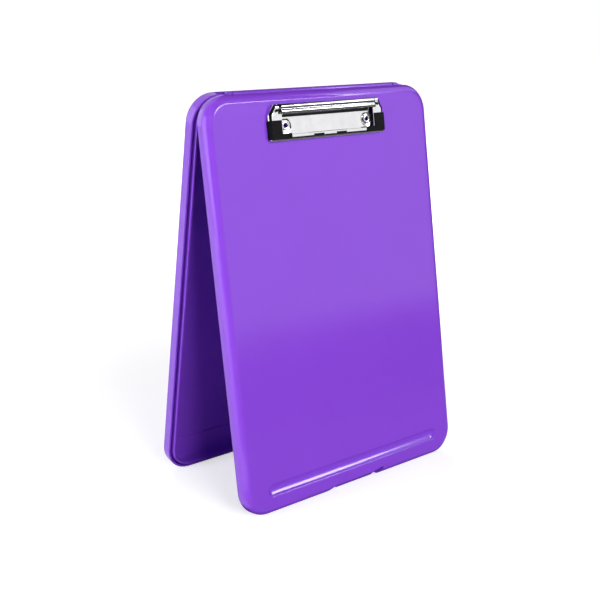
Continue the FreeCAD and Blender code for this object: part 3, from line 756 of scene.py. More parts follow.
class BOX_OT_tray(bpy.types.Operator):
    """The back shell with its rim, hinge lugs and latch bead"""

    bl_idname = "clipbox.tray"
    bl_label = "Tray"

    def execute(self, context):
        sizes = context.scene.box_shells
        hinge = context.scene.box_hinge
        notch = context.scene.box_notch
        add = partial(
            piece, placing=board_to_room(TRAY_LEAN), body="tray", slot="tray_plastic",
            finish=finish_named("purple_plastic"),
        )
        add("tray_shell", tray_surface(sizes), replaced=["back_tray"])
        outline = lug_outline(sizes, hinge)
        start = sizes.width / 2 - hinge.margin + hinge.lug_gap
        axis = along_x((0, sizes.height + hinge.above, hinge.forward))
        for side, name in ((-1, "left"), (1, "right")):
            near, far = sorted((side * start, side * (start + hinge.lug)))
            lug = extruded_along_x("lug", outline, near, far)
            bored = cut(lug, drill(hinge.pin, -2 * sizes.width, 2 * sizes.width, axis, steps=32))
            add(f"hinge_lug_{name}", bored, soft=hinge.lug_softness)
        inset = sizes.lip + sizes.channel + sizes.ridge
        bead = latch_bead(notch.catch_bead, notch.hook_reach, (0, inset, notch.catch_height))
        add("latch_bead", bead)
        return {"FINISHED"}


def rod_profile(radius, half_length, rounding):
    """The section of a round bar about Z with rounded ends, as (radius, height)."""
    low = quarter((radius - rounding, rounding - half_length), rounding, 270, 360, steps=5)
    high = quarter((radius - rounding, half_length - rounding), rounding, 0, 90, steps=5)
    return np.concatenate([[(0, -half_length)], low, high, [(0, half_length)]])


def latch_bead(radius, half_length, centre):
    """A bead of the latch: a thin bar along X whose ends are nearly half round."""
    rounding = 0.9 * radius
    bead = turned("bead", rod_profile(radius, half_length, rounding), steps=24)
    bead.transform(along_x(centre))
    return bead


# The cover


def trough_rows(sizes, trough, level, extra, lip):
    """Rows of the pen trough from its middle line outwards, as (distance from the line, height).

    The bottom is a circle through both edges: radius (half width^2 + depth^2) / (2 depth). Extra grows it,
    for the underside, and lip rounds the edge where it meets the face at its level.
    """
    half = trough.width / 2
    radius = (half**2 + trough.depth**2) / (2 * trough.depth)
    centre = sizes.cover_depth - trough.depth + radius
    grown = radius + extra
    # The lip's circle touches the face from below and the trough's circle from outside.
    drop = centre - level + lip
    across = math.sqrt((grown + lip) ** 2 - drop**2)
    inside = np.linspace(0, across * grown / (grown + lip), 16)
    rows = [np.column_stack([inside, centre - np.sqrt(grown**2 - inside**2)])]
    if lip > 0:
        tilt = math.degrees(math.atan2(drop, across))
        rows.append(quarter((across, level - lip), lip, 180 - tilt, 90, steps=6)[1:])
    return np.concatenate(rows + [[(across + lip + extra / 2, level)]])


def trough_rings(trough, rows):
    """Each row of the trough carried round its middle line as a round-ended ring."""
    line = trough.reach - trough.width / 2
    widest = rows[:, 0].max() + trough.width
    corners = box_corners(-line - widest, trough.centre - widest, line + widest, trough.centre + widest)
    rings = offset_rings(corners, [widest] * 4, widest - rows[:, 0], CORNER_STEPS, SIDE_STEPS)
    return raised(rings, rows[:, 1])


def cover_surface(sizes, trough):
    """The cover as one closed surface: trough, face, rounded wall, rim, hollow and the trough's underside."""
    depth = sizes.cover_depth
    rim = sizes.rim_gap / 2
    edge = sizes.cover_edge
    soft = sizes.soft
    hold = 2 * soft
    wall = sizes.cover_wall
    inner = sizes.cover_inner
    ceiling = depth - sizes.cover_face
    parts = [
        [(edge + hold, depth)],
        quarter((edge, depth - edge), edge, 90, 180, steps=14),
        [(0, rim + soft + hold)],
        quarter((soft, rim + soft), soft, 180, 270, steps=4),
        quarter((wall - soft, rim + soft), soft, 270, 360, steps=4),
        [(wall, rim + soft + hold)],
        quarter((wall + inner, ceiling - inner), inner, 180, 90, steps=8),
        [(wall + inner + hold, ceiling)],
    ]
    profile = one_line(parts)
    wall_rows = raised(board_rings(sizes, profile[:, 0]), profile[:, 1])
    bowl = trough_rings(trough, trough_rows(sizes, trough, depth, 0, trough.rounding))
    boss = trough_rings(trough, trough_rows(sizes, trough, ceiling, trough.wall, 0))
    return surface("cover_shell", np.concatenate([bowl, wall_rows, boss[::-1]]))


def notch_cutter(sizes, notch):
    """The prism that opens the finger notch."""
    beyond = sizes.cover_depth
    outline = [
        (-notch.left_foot, -beyond),
        (notch.right_foot, -beyond),
        (notch.right_foot, 0),
        (notch.right_bend, notch.bend_height),
        (notch.right_top, notch.height),
        (-notch.left_top, notch.height),
        (-notch.left_foot, 0),
    ]
    return extruded("notch", outline, -beyond, 2 * beyond)


def window_cutter(sizes, notch):
    """The round-ended bar that opens the small window beside the notch."""
    top = notch.window_bottom + notch.window_height
    corners = box_corners(notch.window_left, notch.window_bottom, notch.window_right, top)
    # A little under half the height, so that the two arcs of an end stay apart.
    radius = 0.98 * notch.window_height / 2
    outline = rounded_box(corners, radius, steps=8)
    return extruded("window", outline, sizes.cover_depth / 2, 2 * sizes.cover_depth)


def relief_cutter(sizes, hinge, notch, side):
    """The box that makes room for a lug of the tray."""
    start = sizes.width / 2 - hinge.margin + hinge.lug_gap - notch.gap
    near, far = sorted((side * start, side * (start + hinge.lug + 2 * notch.gap)))
    low = sizes.height - hinge.lug_thickness - notch.gap
    outline = box_corners(near, low, far, sizes.height + sizes.cover_depth)
    return extruded("relief", outline, -sizes.cover_depth, hinge.forward + hinge.barrel + notch.gap)


def rivet_places():
    """Where the two rivets sit on the cover's face, from the board's middle and top edge."""
    clip = bpy.context.scene.box_clip
    plate = bpy.context.scene.box_plate
    across = clip.half_width - plate.rivet_side
    down = clip.bottom - plate.rivet_bottom
    return {"left": (-across, -down), "right": (across, -down)}


class BOX_OT_cover(bpy.types.Operator):
    """The front shell with its pen trough, notch, window, latch hook and hinge barrel"""

    bl_idname = "clipbox.cover"
    bl_label = "Cover"

    def execute(self, context):
        scene = context.scene
        sizes, trough, notch = scene.box_shells, scene.box_trough, scene.box_notch
        hinge, plate = scene.box_hinge, scene.box_plate
        add = partial(
            piece, placing=board_to_room(COVER_LEAN), body="cover", slot="cover_plastic",
            finish=finish_named("purple_plastic"),
        )
        tools = [notch_cutter(sizes, notch), window_cutter(sizes, notch)]
        tools += [relief_cutter(sizes, hinge, notch, side) for side in (-1, 1)]
        hole = plate.rivet + plate.clearance
        for across, up in rivet_places().values():
            there = Matrix.Translation((across, sizes.height + up, 0))
            tools.append(drill(hole, 0, 2 * sizes.cover_depth, there, steps=40))
        shell = cut(cover_surface(sizes, trough), *tools)
        add("cover_shell", shell, replaced=["front_cover"])
        reach = sizes.width / 2 - hinge.margin
        bore = hinge.pin + hinge.clearance
        deep = reach - hinge.pin_in_barrel - hinge.bore_rest
        soft = sizes.soft
        half = np.concatenate(
            [
                [(0, deep), (bore, deep), (bore, reach - soft), (bore + soft, reach)],
                quarter((hinge.barrel - soft, reach - soft), soft, 90, 0, steps=4),
            ]
        )
        profile = np.concatenate([half * (1, -1), half[::-1]])
        barrel = turned("barrel", profile, steps=40)
        barrel.transform(along_x((0, sizes.height + hinge.above, hinge.forward)))
        add("hinge_barrel", barrel)
        low = -sizes.rim_gap / 2 + sizes.ridge_height + notch.gap
        tongue = extruded(
            "tongue",
            box_corners(
                notch.tongue_gap - notch.left_top, notch.height,
                notch.right_top - notch.tongue_gap, notch.height + notch.tongue,
            ),
            low,
            sizes.cover_depth - sizes.cover_face,
        )
        add("notch_tongue", tongue, soft=sizes.soft)
        front = sizes.cover_depth - notch.slope_start
        foot = notch.height - notch.slope_drop
        rear = notch.height + notch.tongue / 2
        slope = extruded_along_x(
            "slope",
            [(notch.height, front), (foot, front - notch.slope_run), (foot, low), (rear, low), (rear, front)],
            notch.tongue_gap - notch.left_top,
            (notch.right_top + notch.window_left) / 2,
        )
        add("notch_slope", slope)
        behind = extruded(
            "behind",
            box_corners(
                notch.window_left - notch.tongue, notch.window_bottom - notch.tongue / 2,
                notch.window_right + sizes.cover_depth / 2,
                notch.window_bottom + notch.window_height + 2 * notch.tongue,
            ),
            sizes.cover_depth / 2 - notch.tongue,
            sizes.cover_depth / 2,
        )
        add("window_back", behind, soft=sizes.soft)
        inner = sizes.lip + sizes.channel + sizes.ridge + notch.catch_bead + notch.gap + notch.hook_bead
        hook = extruded(
            "hook",
            box_corners(-notch.hook_reach, inner, notch.hook_reach, inner + notch.hook),
            -notch.hook_drop,
            sizes.cover_depth - sizes.cover_face / 2,
        )
        add("latch_hook", hook, soft=sizes.soft)
        bead = latch_bead(notch.hook_bead, notch.hook_reach, (0, inner, 0))
        add("hook_bead", bead)
        return {"FINISHED"}


class BOX_OT_pins(bpy.types.Operator):
    """The two hinge pins and the clip's rod"""

    bl_idname = "clipbox.pins"
    bl_label = "Pins and rod"

    def execute(self, context):
        sizes, hinge, clip = context.scene.box_shells, context.scene.box_hinge, context.scene.box_clip
        steel = finish_named("satin_steel")
        reach = sizes.width / 2 - hinge.margin
        start = reach - hinge.pin_in_barrel
        end = reach + hinge.lug_gap + hinge.lug - hinge.pin_recess
        pin_profile = rod_profile(hinge.pin, (end - start) / 2, hinge.pin_rounding)
        placing = board_to_room(TRAY_LEAN)
        for side, name in ((-1, "hinge_pin_left"), (1, "hinge_pin_right")):
            pin = turned("pin", pin_profile, steps=32)
            pin.transform(along_x((side * (start + end) / 2, sizes.height + hinge.above, hinge.forward)))
            piece(f"{name}_turned", pin, placing, "tray", "pin_steel", steel, [name])
        half = clip.half_width - clip.arm_width - clip.ear_inset + clip.steel + clip.rod_beyond
        rod = turned("rod", rod_profile(clip.rod, half, hinge.pin_rounding), steps=40)
        rod.transform(along_x((0, -clip.top - clip.rod_below, clip.rod_up)))
        piece("pivot_rod_turned", rod, clip_to_room(), "cover", "pin_steel", steel, ["clip_pivot_rod"])
        return {"FINISHED"}


# The clip


def frame_path(clip, inner):
    """The clip's outline from the left arm's top, down, across the lip and up the right arm, Y up the board.

    Inner gives the edge of the window instead, with as many points.
    """
    half = clip.half_width
    arm = half - clip.arm_width
    top = -clip.top
    bottom = -clip.bottom
    shoulder = top - clip.chamfer_down
    if inner:
        strip = bottom + clip.strip
        left = [(-arm, top), (-arm, top - clip.chamfer_down / 3), (-arm, shoulder), (-arm, strip)]
    else:
        left = [(-arm, top), (clip.chamfer_across - half, top), (-half, shoulder), (-half, bottom)]
    return left + [(-x, y) for x, y in left[::-1]]


def foot_height(clip, down):
    """How high the skirt's foot is above the face: high at the press bar, low on the arms and at the lip."""
    rod = clip.top + clip.rod_below
    return np.interp(down, [clip.top, rod, clip.bottom], [clip.bar_foot, clip.skirt, clip.lip_gap])


def frame_surface(clip):
    """The clip's frame as one closed sheet: its section carried down an arm, across the lip and up again.

    The section runs from the window's edge over the flat and the rounded band to the skirt's foot,
    and back underneath one sheet thickness further in. Its foot follows foot_height.
    """
    high = clip.height
    band = clip.rounding
    spread = clip.spread
    steel = clip.steel
    under = band - steel
    hem = clip.hem
    flat = spread * band + clip.flat
    outer = np.concatenate(
        [
            [(flat, high)],
            quarter((band, high - band), band, 90, 180, steps=12) * (spread, 1),
            [(0.0, 0.0), (0.0, -hem), (steel / 2, -2 * hem)],
        ]
    )
    inner = np.concatenate(
        [
            [(steel, -hem), (steel, 0.0)],
            (quarter((band, high - band), under, 180, 90, steps=8) - (steel, 0)) * (spread, 1) + (steel, 0),
            [(flat, high - steel)],
        ]
    )
    edge = np.array([(-hem, high - steel), (0.0, high - steel + hem), (0.0, high - hem), (-hem, high)])
    half_radii = [0, clip.chamfer_round, clip.chamfer_round, clip.corner]
    window_radii = [0, 0, 0, clip.window_corner]
    rows = []
    for section, within, radii in (
        (outer, False, half_radii), (inner, False, half_radii), (edge, True, window_radii)
    ):
        path = frame_path(clip, within)
        rings = offset_rings(
            path, radii + radii[::-1], section[:, 0], arc_steps=10, side_steps=12, closed=False
        )
        rows.append(raised(rings, section[:, 1]))
    grid = np.concatenate(rows)
    bend = np.clip((grid[..., 1] + clip.top + clip.bend) / clip.bend, 0, 1)
    grid[..., 2] += clip.bend_rise * bend * np.minimum(1, 3 * bend)
    grid[..., 2] = np.maximum(grid[..., 2], foot_height(clip, -grid[..., 1]))
    return grid


def bar_outline(clip, offset):
    """The press bar's section as (down the clip, height).

    It goes up the front, over two ridges with a valley between them, and down the back.
    """
    radius = clip.ridge - offset
    first = (clip.top + clip.ridge, clip.ridge_height)
    second = (first[0] + clip.pitch, clip.ridge_height)
    valley = (first[0] + clip.pitch / 2, clip.ridge_height + clip.pitch / 2)
    dip = math.hypot(clip.pitch / 2, clip.pitch / 2) - clip.ridge + offset
    rise = np.linspace(clip.bar_foot, clip.ridge_height, 4)[:-1]
    fall = np.linspace(clip.ridge_height, clip.bar_heel, 3)[1:]
    return np.concatenate(
        [
            np.column_stack([np.full(3, first[0] - radius), rise]),
            quarter(first, radius, 180, 45, steps=14)[:-1],
            quarter(valley, dip, 225, 315, steps=10),
            quarter(second, radius, 135, 0, steps=14)[1:],
            np.column_stack([np.full(2, second[0] + radius), fall]),
        ]
    )


def bar_surface(clip):
    """The press bar: a sheet whose two ridges fade into the arms at both ends.

    The section is blended with a level one by a smooth step of the distance from the bar's end.
    """
    reach = clip.half_width - clip.bar_inset
    fade = clip.bar_fade
    end = np.linspace(reach - fade, reach, 17)
    across = np.concatenate([-end[::-1], np.linspace(fade - reach, reach - fade, 31)[1:-1], end])
    share = smooth(np.clip((np.abs(across) - reach + fade) / fade, 0, 1))
    outer = bar_outline(clip, 0.0)
    inner = bar_outline(clip, clip.steel)[::-1]
    section = np.concatenate([outer, inner])
    top = clip.height - clip.bar_sink
    bottom = clip.height - clip.steel + clip.bar_sink
    level = np.concatenate([np.full(len(outer), top), np.full(len(inner), bottom)])
    sunk = np.minimum(section[:, 1], level)
    height = section[:, 1][None] * (1 - share[:, None]) + sunk[None] * share[:, None]
    grid = np.stack(
        [
            np.broadcast_to(across[:, None], height.shape),
            np.broadcast_to(-section[:, 0][None], height.shape),
            height,
        ],
        axis=2,
    )
    return surface("bar", grid, cap_first=True, cap_last=True)


def ear_mesh(clip, side):
    """A small plate under the press bar with a round end on the rod."""
    start = clip.half_width - clip.arm_width - clip.ear_inset
    rod = -clip.top - clip.rod_below
    crest = clip.rod_up + clip.ear_rise
    bottom = quarter((rod, clip.rod_up), clip.ear, 180, 360, steps=16)
    outline = np.concatenate([bottom, [(rod + clip.ear, crest), (rod - clip.ear, crest)]])
    near, far = sorted((side * start, side * (start + clip.steel)))
    return extruded_along_x("ear", outline, near, far)


class BOX_OT_jaw(bpy.types.Operator):
    """The clip's moving frame: arms, jaw strip, press bar, ears, and a dark sheet behind the slots that paints the
    shade seen through them
    """

    bl_idname = "clipbox.jaw"
    bl_label = "Clip jaw"

    def execute(self, context):
        clip = context.scene.box_clip
        add = partial(
            piece, placing=clip_to_room(), body="clip", slot="clip_chrome",
            finish=finish_named("clip_plating"),
        )
        grid = frame_surface(clip)
        work = surface("frame", grid.transpose(1, 0, 2), cap_first=True, cap_last=True)
        slots = []
        top = clip.slot_rise - clip.bottom
        for side in (-1, 1):
            near, far = sorted((side * clip.slot_inner, side * clip.slot_outer))
            corners = box_corners(near, top - clip.slot_width, far, top)
            outline = rounded_box(corners, clip.slot_corner, steps=6)
            slots.append(extruded("slot", outline, clip.rod_up, 2 * clip.height))
        frame_mesh = cut(work, *slots)
        add("jaw_frame", frame_mesh, replaced=["clip_jaw"])
        add("press_bar", bar_surface(clip), crease=50.0)
        for side, name in ((-1, "left"), (1, "right")):
            add(f"jaw_ear_{name}", ear_mesh(clip, side), soft=clip.ear_softness)
        # Painted shade: a near-black rubber sheet under the jaw strip, so that the slots look dark as if in
        # shadow.
        low = top - 2 * clip.slot_width
        side = clip.slot_outer + clip.slot_width
        under = clip.height - clip.steel
        shade_liner = extruded(
            "shade_liner", box_corners(-side, low, side, low + 3 * clip.slot_width), under - clip.shade_liner, under
        )
        add("slot_liner", shade_liner, slot="grip_rubber", finish=finish_named("grip_skin"))
        return {"FINISHED"}


class BOX_OT_grips(bpy.types.Operator):
    """The rubber grips over the clip's lower corners"""

    bl_idname = "clipbox.grips"
    bl_label = "Grips"

    def execute(self, context):
        rubber = finish_named("grip_skin")
        for name in ("clip_grip_left", "clip_grip_right"):
            for slot in frame["nodes"][name].material_slots:
                slot.material = rubber
        return {"FINISHED"}


# The plate, its knuckles, the rivets and their washers


def knuckle_outline(clip, plate, steps=28):
    """A knuckle's section as (down, height): a curl round the rod that rises from the plate's upper side."""
    bore = clip.rod + plate.knuckle_play
    outer = bore + plate.knuckle_wall
    rod = (clip.top + clip.rod_below, clip.rod_up)
    over = quarter(rod, outer, 0, 330, steps)
    inside = quarter(rod, bore, 330, 0, steps)
    foot = [(rod[0] + bore, 0), (rod[0] + outer, 0)]
    return np.concatenate([over, inside, foot])


def ramp_outline(clip, plate, steps=24):
    """The ramp's section as (down, height): it rises as the square of the way towards the knuckles."""
    top = clip.top + 2 * clip.ridge + clip.pitch - plate.corner / 4
    rear = top - plate.corner / 2
    crest = plate.thickness + plate.ramp_rise
    foot = plate.thickness / 2
    share = np.linspace(0, 1, steps)
    slope = np.column_stack(
        [top + plate.ramp * (1 - share), plate.thickness + plate.ramp_rise * share * share]
    )
    return np.concatenate([slope, [(rear, crest), (rear, foot), (top + plate.ramp, foot)]])


def dish_outline(plate):
    """The section of the round dish at a rivet, as (radius, height): a smooth slope down to its floor."""
    share = np.linspace(0, 1, 15)
    rim = plate.dish + plate.dish_roll
    radius = np.linspace(rim, plate.dish_floor - plate.dish_roll, len(share))
    slope = np.column_stack([radius, plate.thickness - plate.dish_depth * smooth(share)])
    hole = plate.rivet + plate.clearance
    floor = plate.thickness - plate.dish_depth
    return np.concatenate([slope, [(hole, floor), (hole, plate.dish_seat), (rim, plate.dish_seat)]])


def rolled_rim(first, last, base, height, fullness=0.8):
    """A rolled edge's section from its first to its last radius, as (radius, height).

    At angle a the point is (middle + (first - last) / 2 cos a, base + height sin^fullness a). A fullness
    below one makes it fuller than an ellipse.
    """
    angle = np.radians(np.linspace(0, 180, 19))
    radius = (first + last) / 2 + (first - last) / 2 * np.cos(angle)
    return np.column_stack([radius, base + height * np.sin(angle) ** fullness])


def rivet_outline(plate, back):
    """The section of a hollow rivet, as (radius, height).

    It goes in over the rolled head, down the bore, out over the rolled tail and up the shank.
    """
    seat = plate.thickness - plate.dish_depth
    head = rolled_rim(plate.head, plate.bore, seat + plate.head_side, plate.head_height - plate.head_side)
    tail = rolled_rim(plate.bore, plate.tail, back, -plate.tail_height)
    return np.concatenate([[(plate.head, seat)], head, tail, [(plate.rivet, back), (plate.rivet, seat)]])


def washer_outline(plate, back, front):
    """The section of a washer, as (radius, height)."""
    hole = plate.rivet + plate.clearance
    soft = plate.washer_softness
    return np.concatenate(
        [
            quarter((hole + soft, back + soft), soft, 180, 270, steps=3),
            quarter((plate.washer - soft, back + soft), soft, 270, 360, steps=3),
            [(plate.washer, front), (hole, front)],
        ]
    )


class BOX_OT_plate(bpy.types.Operator):
    """The plate riveted to the cover, with its knuckles, dishes, rivets and washers"""

    bl_idname = "clipbox.plate"
    bl_label = "Plate and rivets"

    def execute(self, context):
        clip, plate, sizes = context.scene.box_clip, context.scene.box_plate, context.scene.box_shells
        placing = clip_to_room()
        add = partial(
            piece, placing=placing, body="cover", slot="clip_chrome", finish=finish_named("clip_plating")
        )
        half = clip.half_width - plate.side_inset
        rod = clip.top + clip.rod_below
        corners = box_corners(-half, plate.bottom_inset - clip.bottom, half, plate.above_rod - rod)
        outline = rounded_box(corners, plate.corner, steps=8)
        places = {name: Matrix.Translation((*at, 0)) for name, at in rivet_places().items()}
        rim = plate.dish + plate.dish_roll
        # Past both sides of the plate.
        low, high = -MM, 2 * MM
        holes = [drill(rim, low, high, there, steps=72) for there in places.values()]
        sheet = cut(extruded("plate", outline, 0, plate.thickness), *holes)
        add("base_plate_sheet", sheet, replaced=["clip_base_plate"], soft=plate.softness)
        front = -sizes.cover_face
        back = front - plate.washer_thickness
        for name, there in places.items():
            there = placing @ there
            dish = turned("dish", dish_outline(plate), steps=96)
            add(f"plate_dish_{name}", dish, placing=there)
            rivet = turned("rivet", rivet_outline(plate, back), steps=72)
            add(f"rivet_rolled_{name}", rivet, placing=there, replaced=[f"rivet_{name}"])
            washer = turned("washer", washer_outline(plate, back, front), steps=64)
            add(
                f"washer_{name}", washer, placing=there, slot="pin_steel",
                finish=finish_named("satin_steel"), replaced=[f"rivet_washer_{name}"],
            )
        ramp_end = half - plate.corner
        ramp = extruded_along_x("ramp", ramp_outline(clip, plate) * (-1, 1), -ramp_end, ramp_end)
        add("plate_ramp", ramp)
        outline = knuckle_outline(clip, plate)
        across = plate.knuckle_length
        inner, outer = plate.knuckle_inner, plate.knuckle_outer
        for number, start in enumerate((-outer - across, -inner - across, inner, outer)):
            knuckle = extruded_along_x("knuckle", outline * (-1, 1), start, start + across)
            add(f"plate_knuckle_{number + 1}", knuckle)
        return {"FINISHED"}


def spring_path(spring, clip, side, steps_per_turn=36):
    """The spring's middle line and its directions: a straight leg, a helix about the rod, a straight leg.

    At winding angle a the helix is at x = start + pitch * a / turn, y = rod's y - coil cos a,
    z = rod's height + coil sin a.
    """
    first = spring.upper_angle
    last = spring.lower_angle + 2 * math.pi * spring.turns
    angle = np.linspace(first, last, int(steps_per_turn * (last - first) / (2 * math.pi)) + 1)
    step = spring.pitch / (2 * math.pi)
    path = np.column_stack(
        [
            side * (spring.inner_end + step * (angle - first)),
            -clip.top - clip.rod_below - spring.coil * np.cos(angle),
            clip.rod_up + spring.coil * np.sin(angle),
        ]
    )
    ways = np.column_stack(
        [np.full(len(angle), side * step), spring.coil * np.sin(angle), spring.coil * np.cos(angle)]
    )
    ways /= np.linalg.norm(ways, axis=1, keepdims=True)
    before = path[0] - ways[0] * np.linspace(spring.upper_leg, 0, 6)[:-1, None]
    after = path[-1] + ways[-1] * np.linspace(0, spring.lower_leg, 6)[1:, None]
    path = np.concatenate([before, path, after])
    ways = np.concatenate([np.repeat(ways[:1], 5, axis=0), ways, np.repeat(ways[-1:], 5, axis=0)])
    return path, ways


class BOX_OT_springs(bpy.types.Operator):
    """The two coil springs round the rod"""

    bl_idname = "clipbox.springs"
    bl_label = "Springs"

    def execute(self, context):
        spring, clip = context.scene.box_spring, context.scene.box_clip
        wire = finish_named("spring_wire")
        for side, name in ((-1, "left"), (1, "right")):
            path, ways = spring_path(spring, clip, side)
            mesh = tube("spring", path, ways, spring.wire)
            piece(
                f"coil_spring_{name}", mesh, clip_to_room(), "cover", "spring_steel", wire,
                [f"clip_spring_{name}"],
            )
        return {"FINISHED"}


# The stage

WHITE = (1.0, 1.0, 1.0, 1.0)
BLACK = (0.0, 0.0, 0.0, 1.0)

# The camera as fitted to the photograph: its place, angles in degrees, lens and sensor in millimetres.
CAMERA_PLACE = (-0.56081, -0.66540, 0.40909)
CAMERA_YAW, CAMERA_PITCH, CAMERA_ROLL = 39.37, 16.42, 0.74
CAMERA_LENS, CAMERA_SENSOR = 61.64, 36.0

# Each lamp's name, place, size and power in watts. All of them look at one point.
LIT_POINT = (0.0, 0.0, 0.18)
LAMPS = (
    ("front_box", (-0.4, -2.3, 1.25), (1.3, 1.1), 56.0),
    ("left_box", (-1.7, 0.22, 0.45), (0.5, 1.1), 21.0),
    ("back_box", (0.9, 2.1, 1.3), (1.3, 1.1), 24.0),
)
AMBIENT = 0.10

FLOOR_HALF = 6.0
# The floor's glow near the box and far from it, and the distances between which it grows.
FLOOR_GLOW = (0.62, 1.0)
FLOOR_GLOW_REACH = (0.3, 0.85)
# Where the painted shade that gloss sees on the floor under the box ends: the edge's inner and outer side along
# each axis.
GLOSS_SHADE_FOOTPRINT = {"X": (0.118, 0.124), "Y": (0.068, 0.074)}


def floor_material(tone):
    """Pale matt floor that glows to the camera and in gloss, and keeps the box's soft shadow.

    Inside the footprint, gloss sees it black and without glow: painted shade that stands in for the box's own
    shade on a real floor.
    """
    finish = Finish("pale_floor")
    finish.set(Roughness=0.9, Specular_IOR_Level=0.1)
    away = finish.add("ShaderNodeVectorMath", {0: finish.place}, operation="LENGTH").outputs["Value"]
    share = finish.spread(away, *FLOOR_GLOW, *FLOOR_GLOW_REACH)
    axes = finish.add("ShaderNodeSeparateXYZ", {0: finish.place}).outputs
    outside = [
        finish.spread(finish.maths("ABSOLUTE", axes[axis]), 0.0, 1.0, *limits)
        for axis, limits in GLOSS_SHADE_FOOTPRINT.items()
    ]
    # Painted shade: for glossy rays inside the footprint the floor's colour and glow drop to nothing.
    gloss = finish.add("ShaderNodeLightPath").outputs["Is Glossy Ray"]
    gloss_unshaded = finish.maths(
        "MAXIMUM", finish.maths("MAXIMUM", *outside), finish.maths("SUBTRACT", 1.0, gloss)
    )
    shade = finish.add("ShaderNodeVectorMath", {0: tuple(tone), "Scale": gloss_unshaded}, operation="SCALE").outputs[0]
    glow = finish.maths("MULTIPLY", finish.seen(), finish.maths("MULTIPLY", share, gloss_unshaded))
    finish.set(Base_Color=shade, Emission_Color=WHITE, Emission_Strength=glow)
    return finish.material


def soft_lamp(name, place, size, power):
    """A rectangular soft box that looks at the lit point and doesn't show in gloss."""
    data = bpy.data.lights.new(name, "AREA")
    data.shape = "RECTANGLE"
    data.size, data.size_y = size
    data.energy = power
    lamp = bpy.data.objects.new(name, data)
    lamp.location = place
    lamp.rotation_euler = (Vector(LIT_POINT) - Vector(place)).to_track_quat("-Z", "Y").to_euler()
    lamp.visible_glossy = False
    bpy.context.scene.collection.objects.link(lamp)


# How much a card's brightness varies over its cloth.
WEAVE = 0.03

# What gloss and metal see round the object, as painted reflections: the bright cards paint highlights and light
# nothing, the dark ones paint dark reflections, and the two just above the floor paint the floor's reflection
# darker than the floor is. Each has a name, its brightness, and rows of (distance, height, first bearing, last
# bearing), with bearings in degrees from the front towards the right.
GLOSS_CARDS = (
    ("glare", 16.0, ((3.4, 1.2, 24.0, 43.5), (3.0, 3.1, 30.0, 60.0))),
    ("right_glow", 1.25, ((3.3, 1.65, 46.0, 96.0), (2.7, 3.3, 60.0, 96.0))),
    ("left_glow", 3.0, ((3.3, 0.05, -112.0, -66.0), (3.3, 2.4, -112.0, -66.0))),
    ("back_glow", 2.4, ((3.3, 0.05, -168.0, -124.0), (3.3, 2.4, -168.0, -124.0))),
    ("dark_left", 0.01, ((4.0, 0.0, -110.0, 12.0), (4.0, 4.5, -110.0, 12.0), (0.1, 4.5, -110.0, 12.0))),
    ("dark_right", 0.01, ((4.0, 1.35, 12.0, 145.0), (4.0, 4.5, 12.0, 145.0), (0.1, 4.5, 12.0, 145.0))),
    ("dark_side", 0.01, ((3.8, 0.0, 52.0, 130.0), (3.8, 1.4, 52.0, 130.0))),
    ("grey_table", 0.3, ((2.6, 0.003, -60.0, 150.0), (4.0, 0.003, -60.0, 150.0))),
    ("dark_table", 0.02, ((0.45, 0.003, -60.0, 150.0), (2.6, 0.003, -60.0, 150.0))),
)


# Flat cards: a name, its brightness and two rows of corners. The flag paints a dark reflection that keeps the
# glare off the cover's top rounding left of the clip, and the front card paints the reflection of the floor in
# front of the cover grey.
FLAT_CARDS = (
    (
        "flag", 0.01,
        [
            [(-0.080, -0.085, 0.360), (0.095, -0.085, 0.360)],
            [(-0.080, -0.085, 0.500), (0.095, -0.085, 0.500)],
        ],
    ),
    (
        "front_table", 0.15,
        [
            [(-0.20, -0.45, 0.003), (0.45, -0.45, 0.003)],
            [(-0.20, -0.070, 0.003), (0.45, -0.070, 0.003)],
        ],
    ),
)


def round_card(rows):
    """Points of a card carried part of the way round the object, from rows of distance, height and bearings.

    The point at distance d, height h and bearing b is (d sin b, -d cos b, h).
    """
    rows = np.asarray(rows, float)
    bearing = np.radians(np.linspace(rows[:, 2], rows[:, 3], 40, axis=1))
    distance, height = rows[:, :1], rows[:, 1:2] + 0 * bearing
    return np.stack([distance * np.sin(bearing), -distance * np.cos(bearing), height], axis=2)


def gloss_card(name, grid, strength):
    """A card that only gloss and metal see, a painted reflection with a faint weave in its brightness."""
    card = bpy.data.objects.new(name, surface(name, grid, wrap_columns=False))
    finish = Finish(f"{name}_cloth")
    threads = finish.noise(scale=300.0, detail=2.0)
    weave = finish.spread(threads, (1 - WEAVE) * strength, (1 + WEAVE) * strength)
    finish.set(Base_Color=BLACK, Roughness=1.0, Specular_IOR_Level=0.0)
    finish.set(Emission_Color=WHITE, Emission_Strength=weave)
    card.data.materials.append(finish.material)
    bpy.context.scene.collection.objects.link(card)
    card.visible_camera = False
    card.visible_diffuse = False
    card.visible_shadow = False
    card.visible_transmission = False


def studio_camera():
    """The camera at the photograph's place: it looks along yaw and pitch, rolled a little."""
    yaw, pitch, roll = (math.radians(angle) for angle in (CAMERA_YAW, CAMERA_PITCH, CAMERA_ROLL))
    ahead = Vector((math.sin(yaw) * math.cos(pitch), math.cos(yaw) * math.cos(pitch), -math.sin(pitch)))
    level = Vector((math.cos(yaw), -math.sin(yaw), 0.0))
    up = level.cross(ahead)
    right = level * math.cos(roll) + up * math.sin(roll)
    up = up * math.cos(roll) - level * math.sin(roll)
    data = bpy.data.cameras.new("camera")
    data.lens = CAMERA_LENS
    data.sensor_width = CAMERA_SENSOR
    camera = bpy.data.objects.new("camera", data)
    turn = Matrix((right, up, -ahead)).transposed()
    camera.matrix_world = Matrix.Translation(CAMERA_PLACE) @ turn.to_4x4()
    bpy.context.scene.collection.objects.link(camera)
    bpy.context.scene.camera = camera


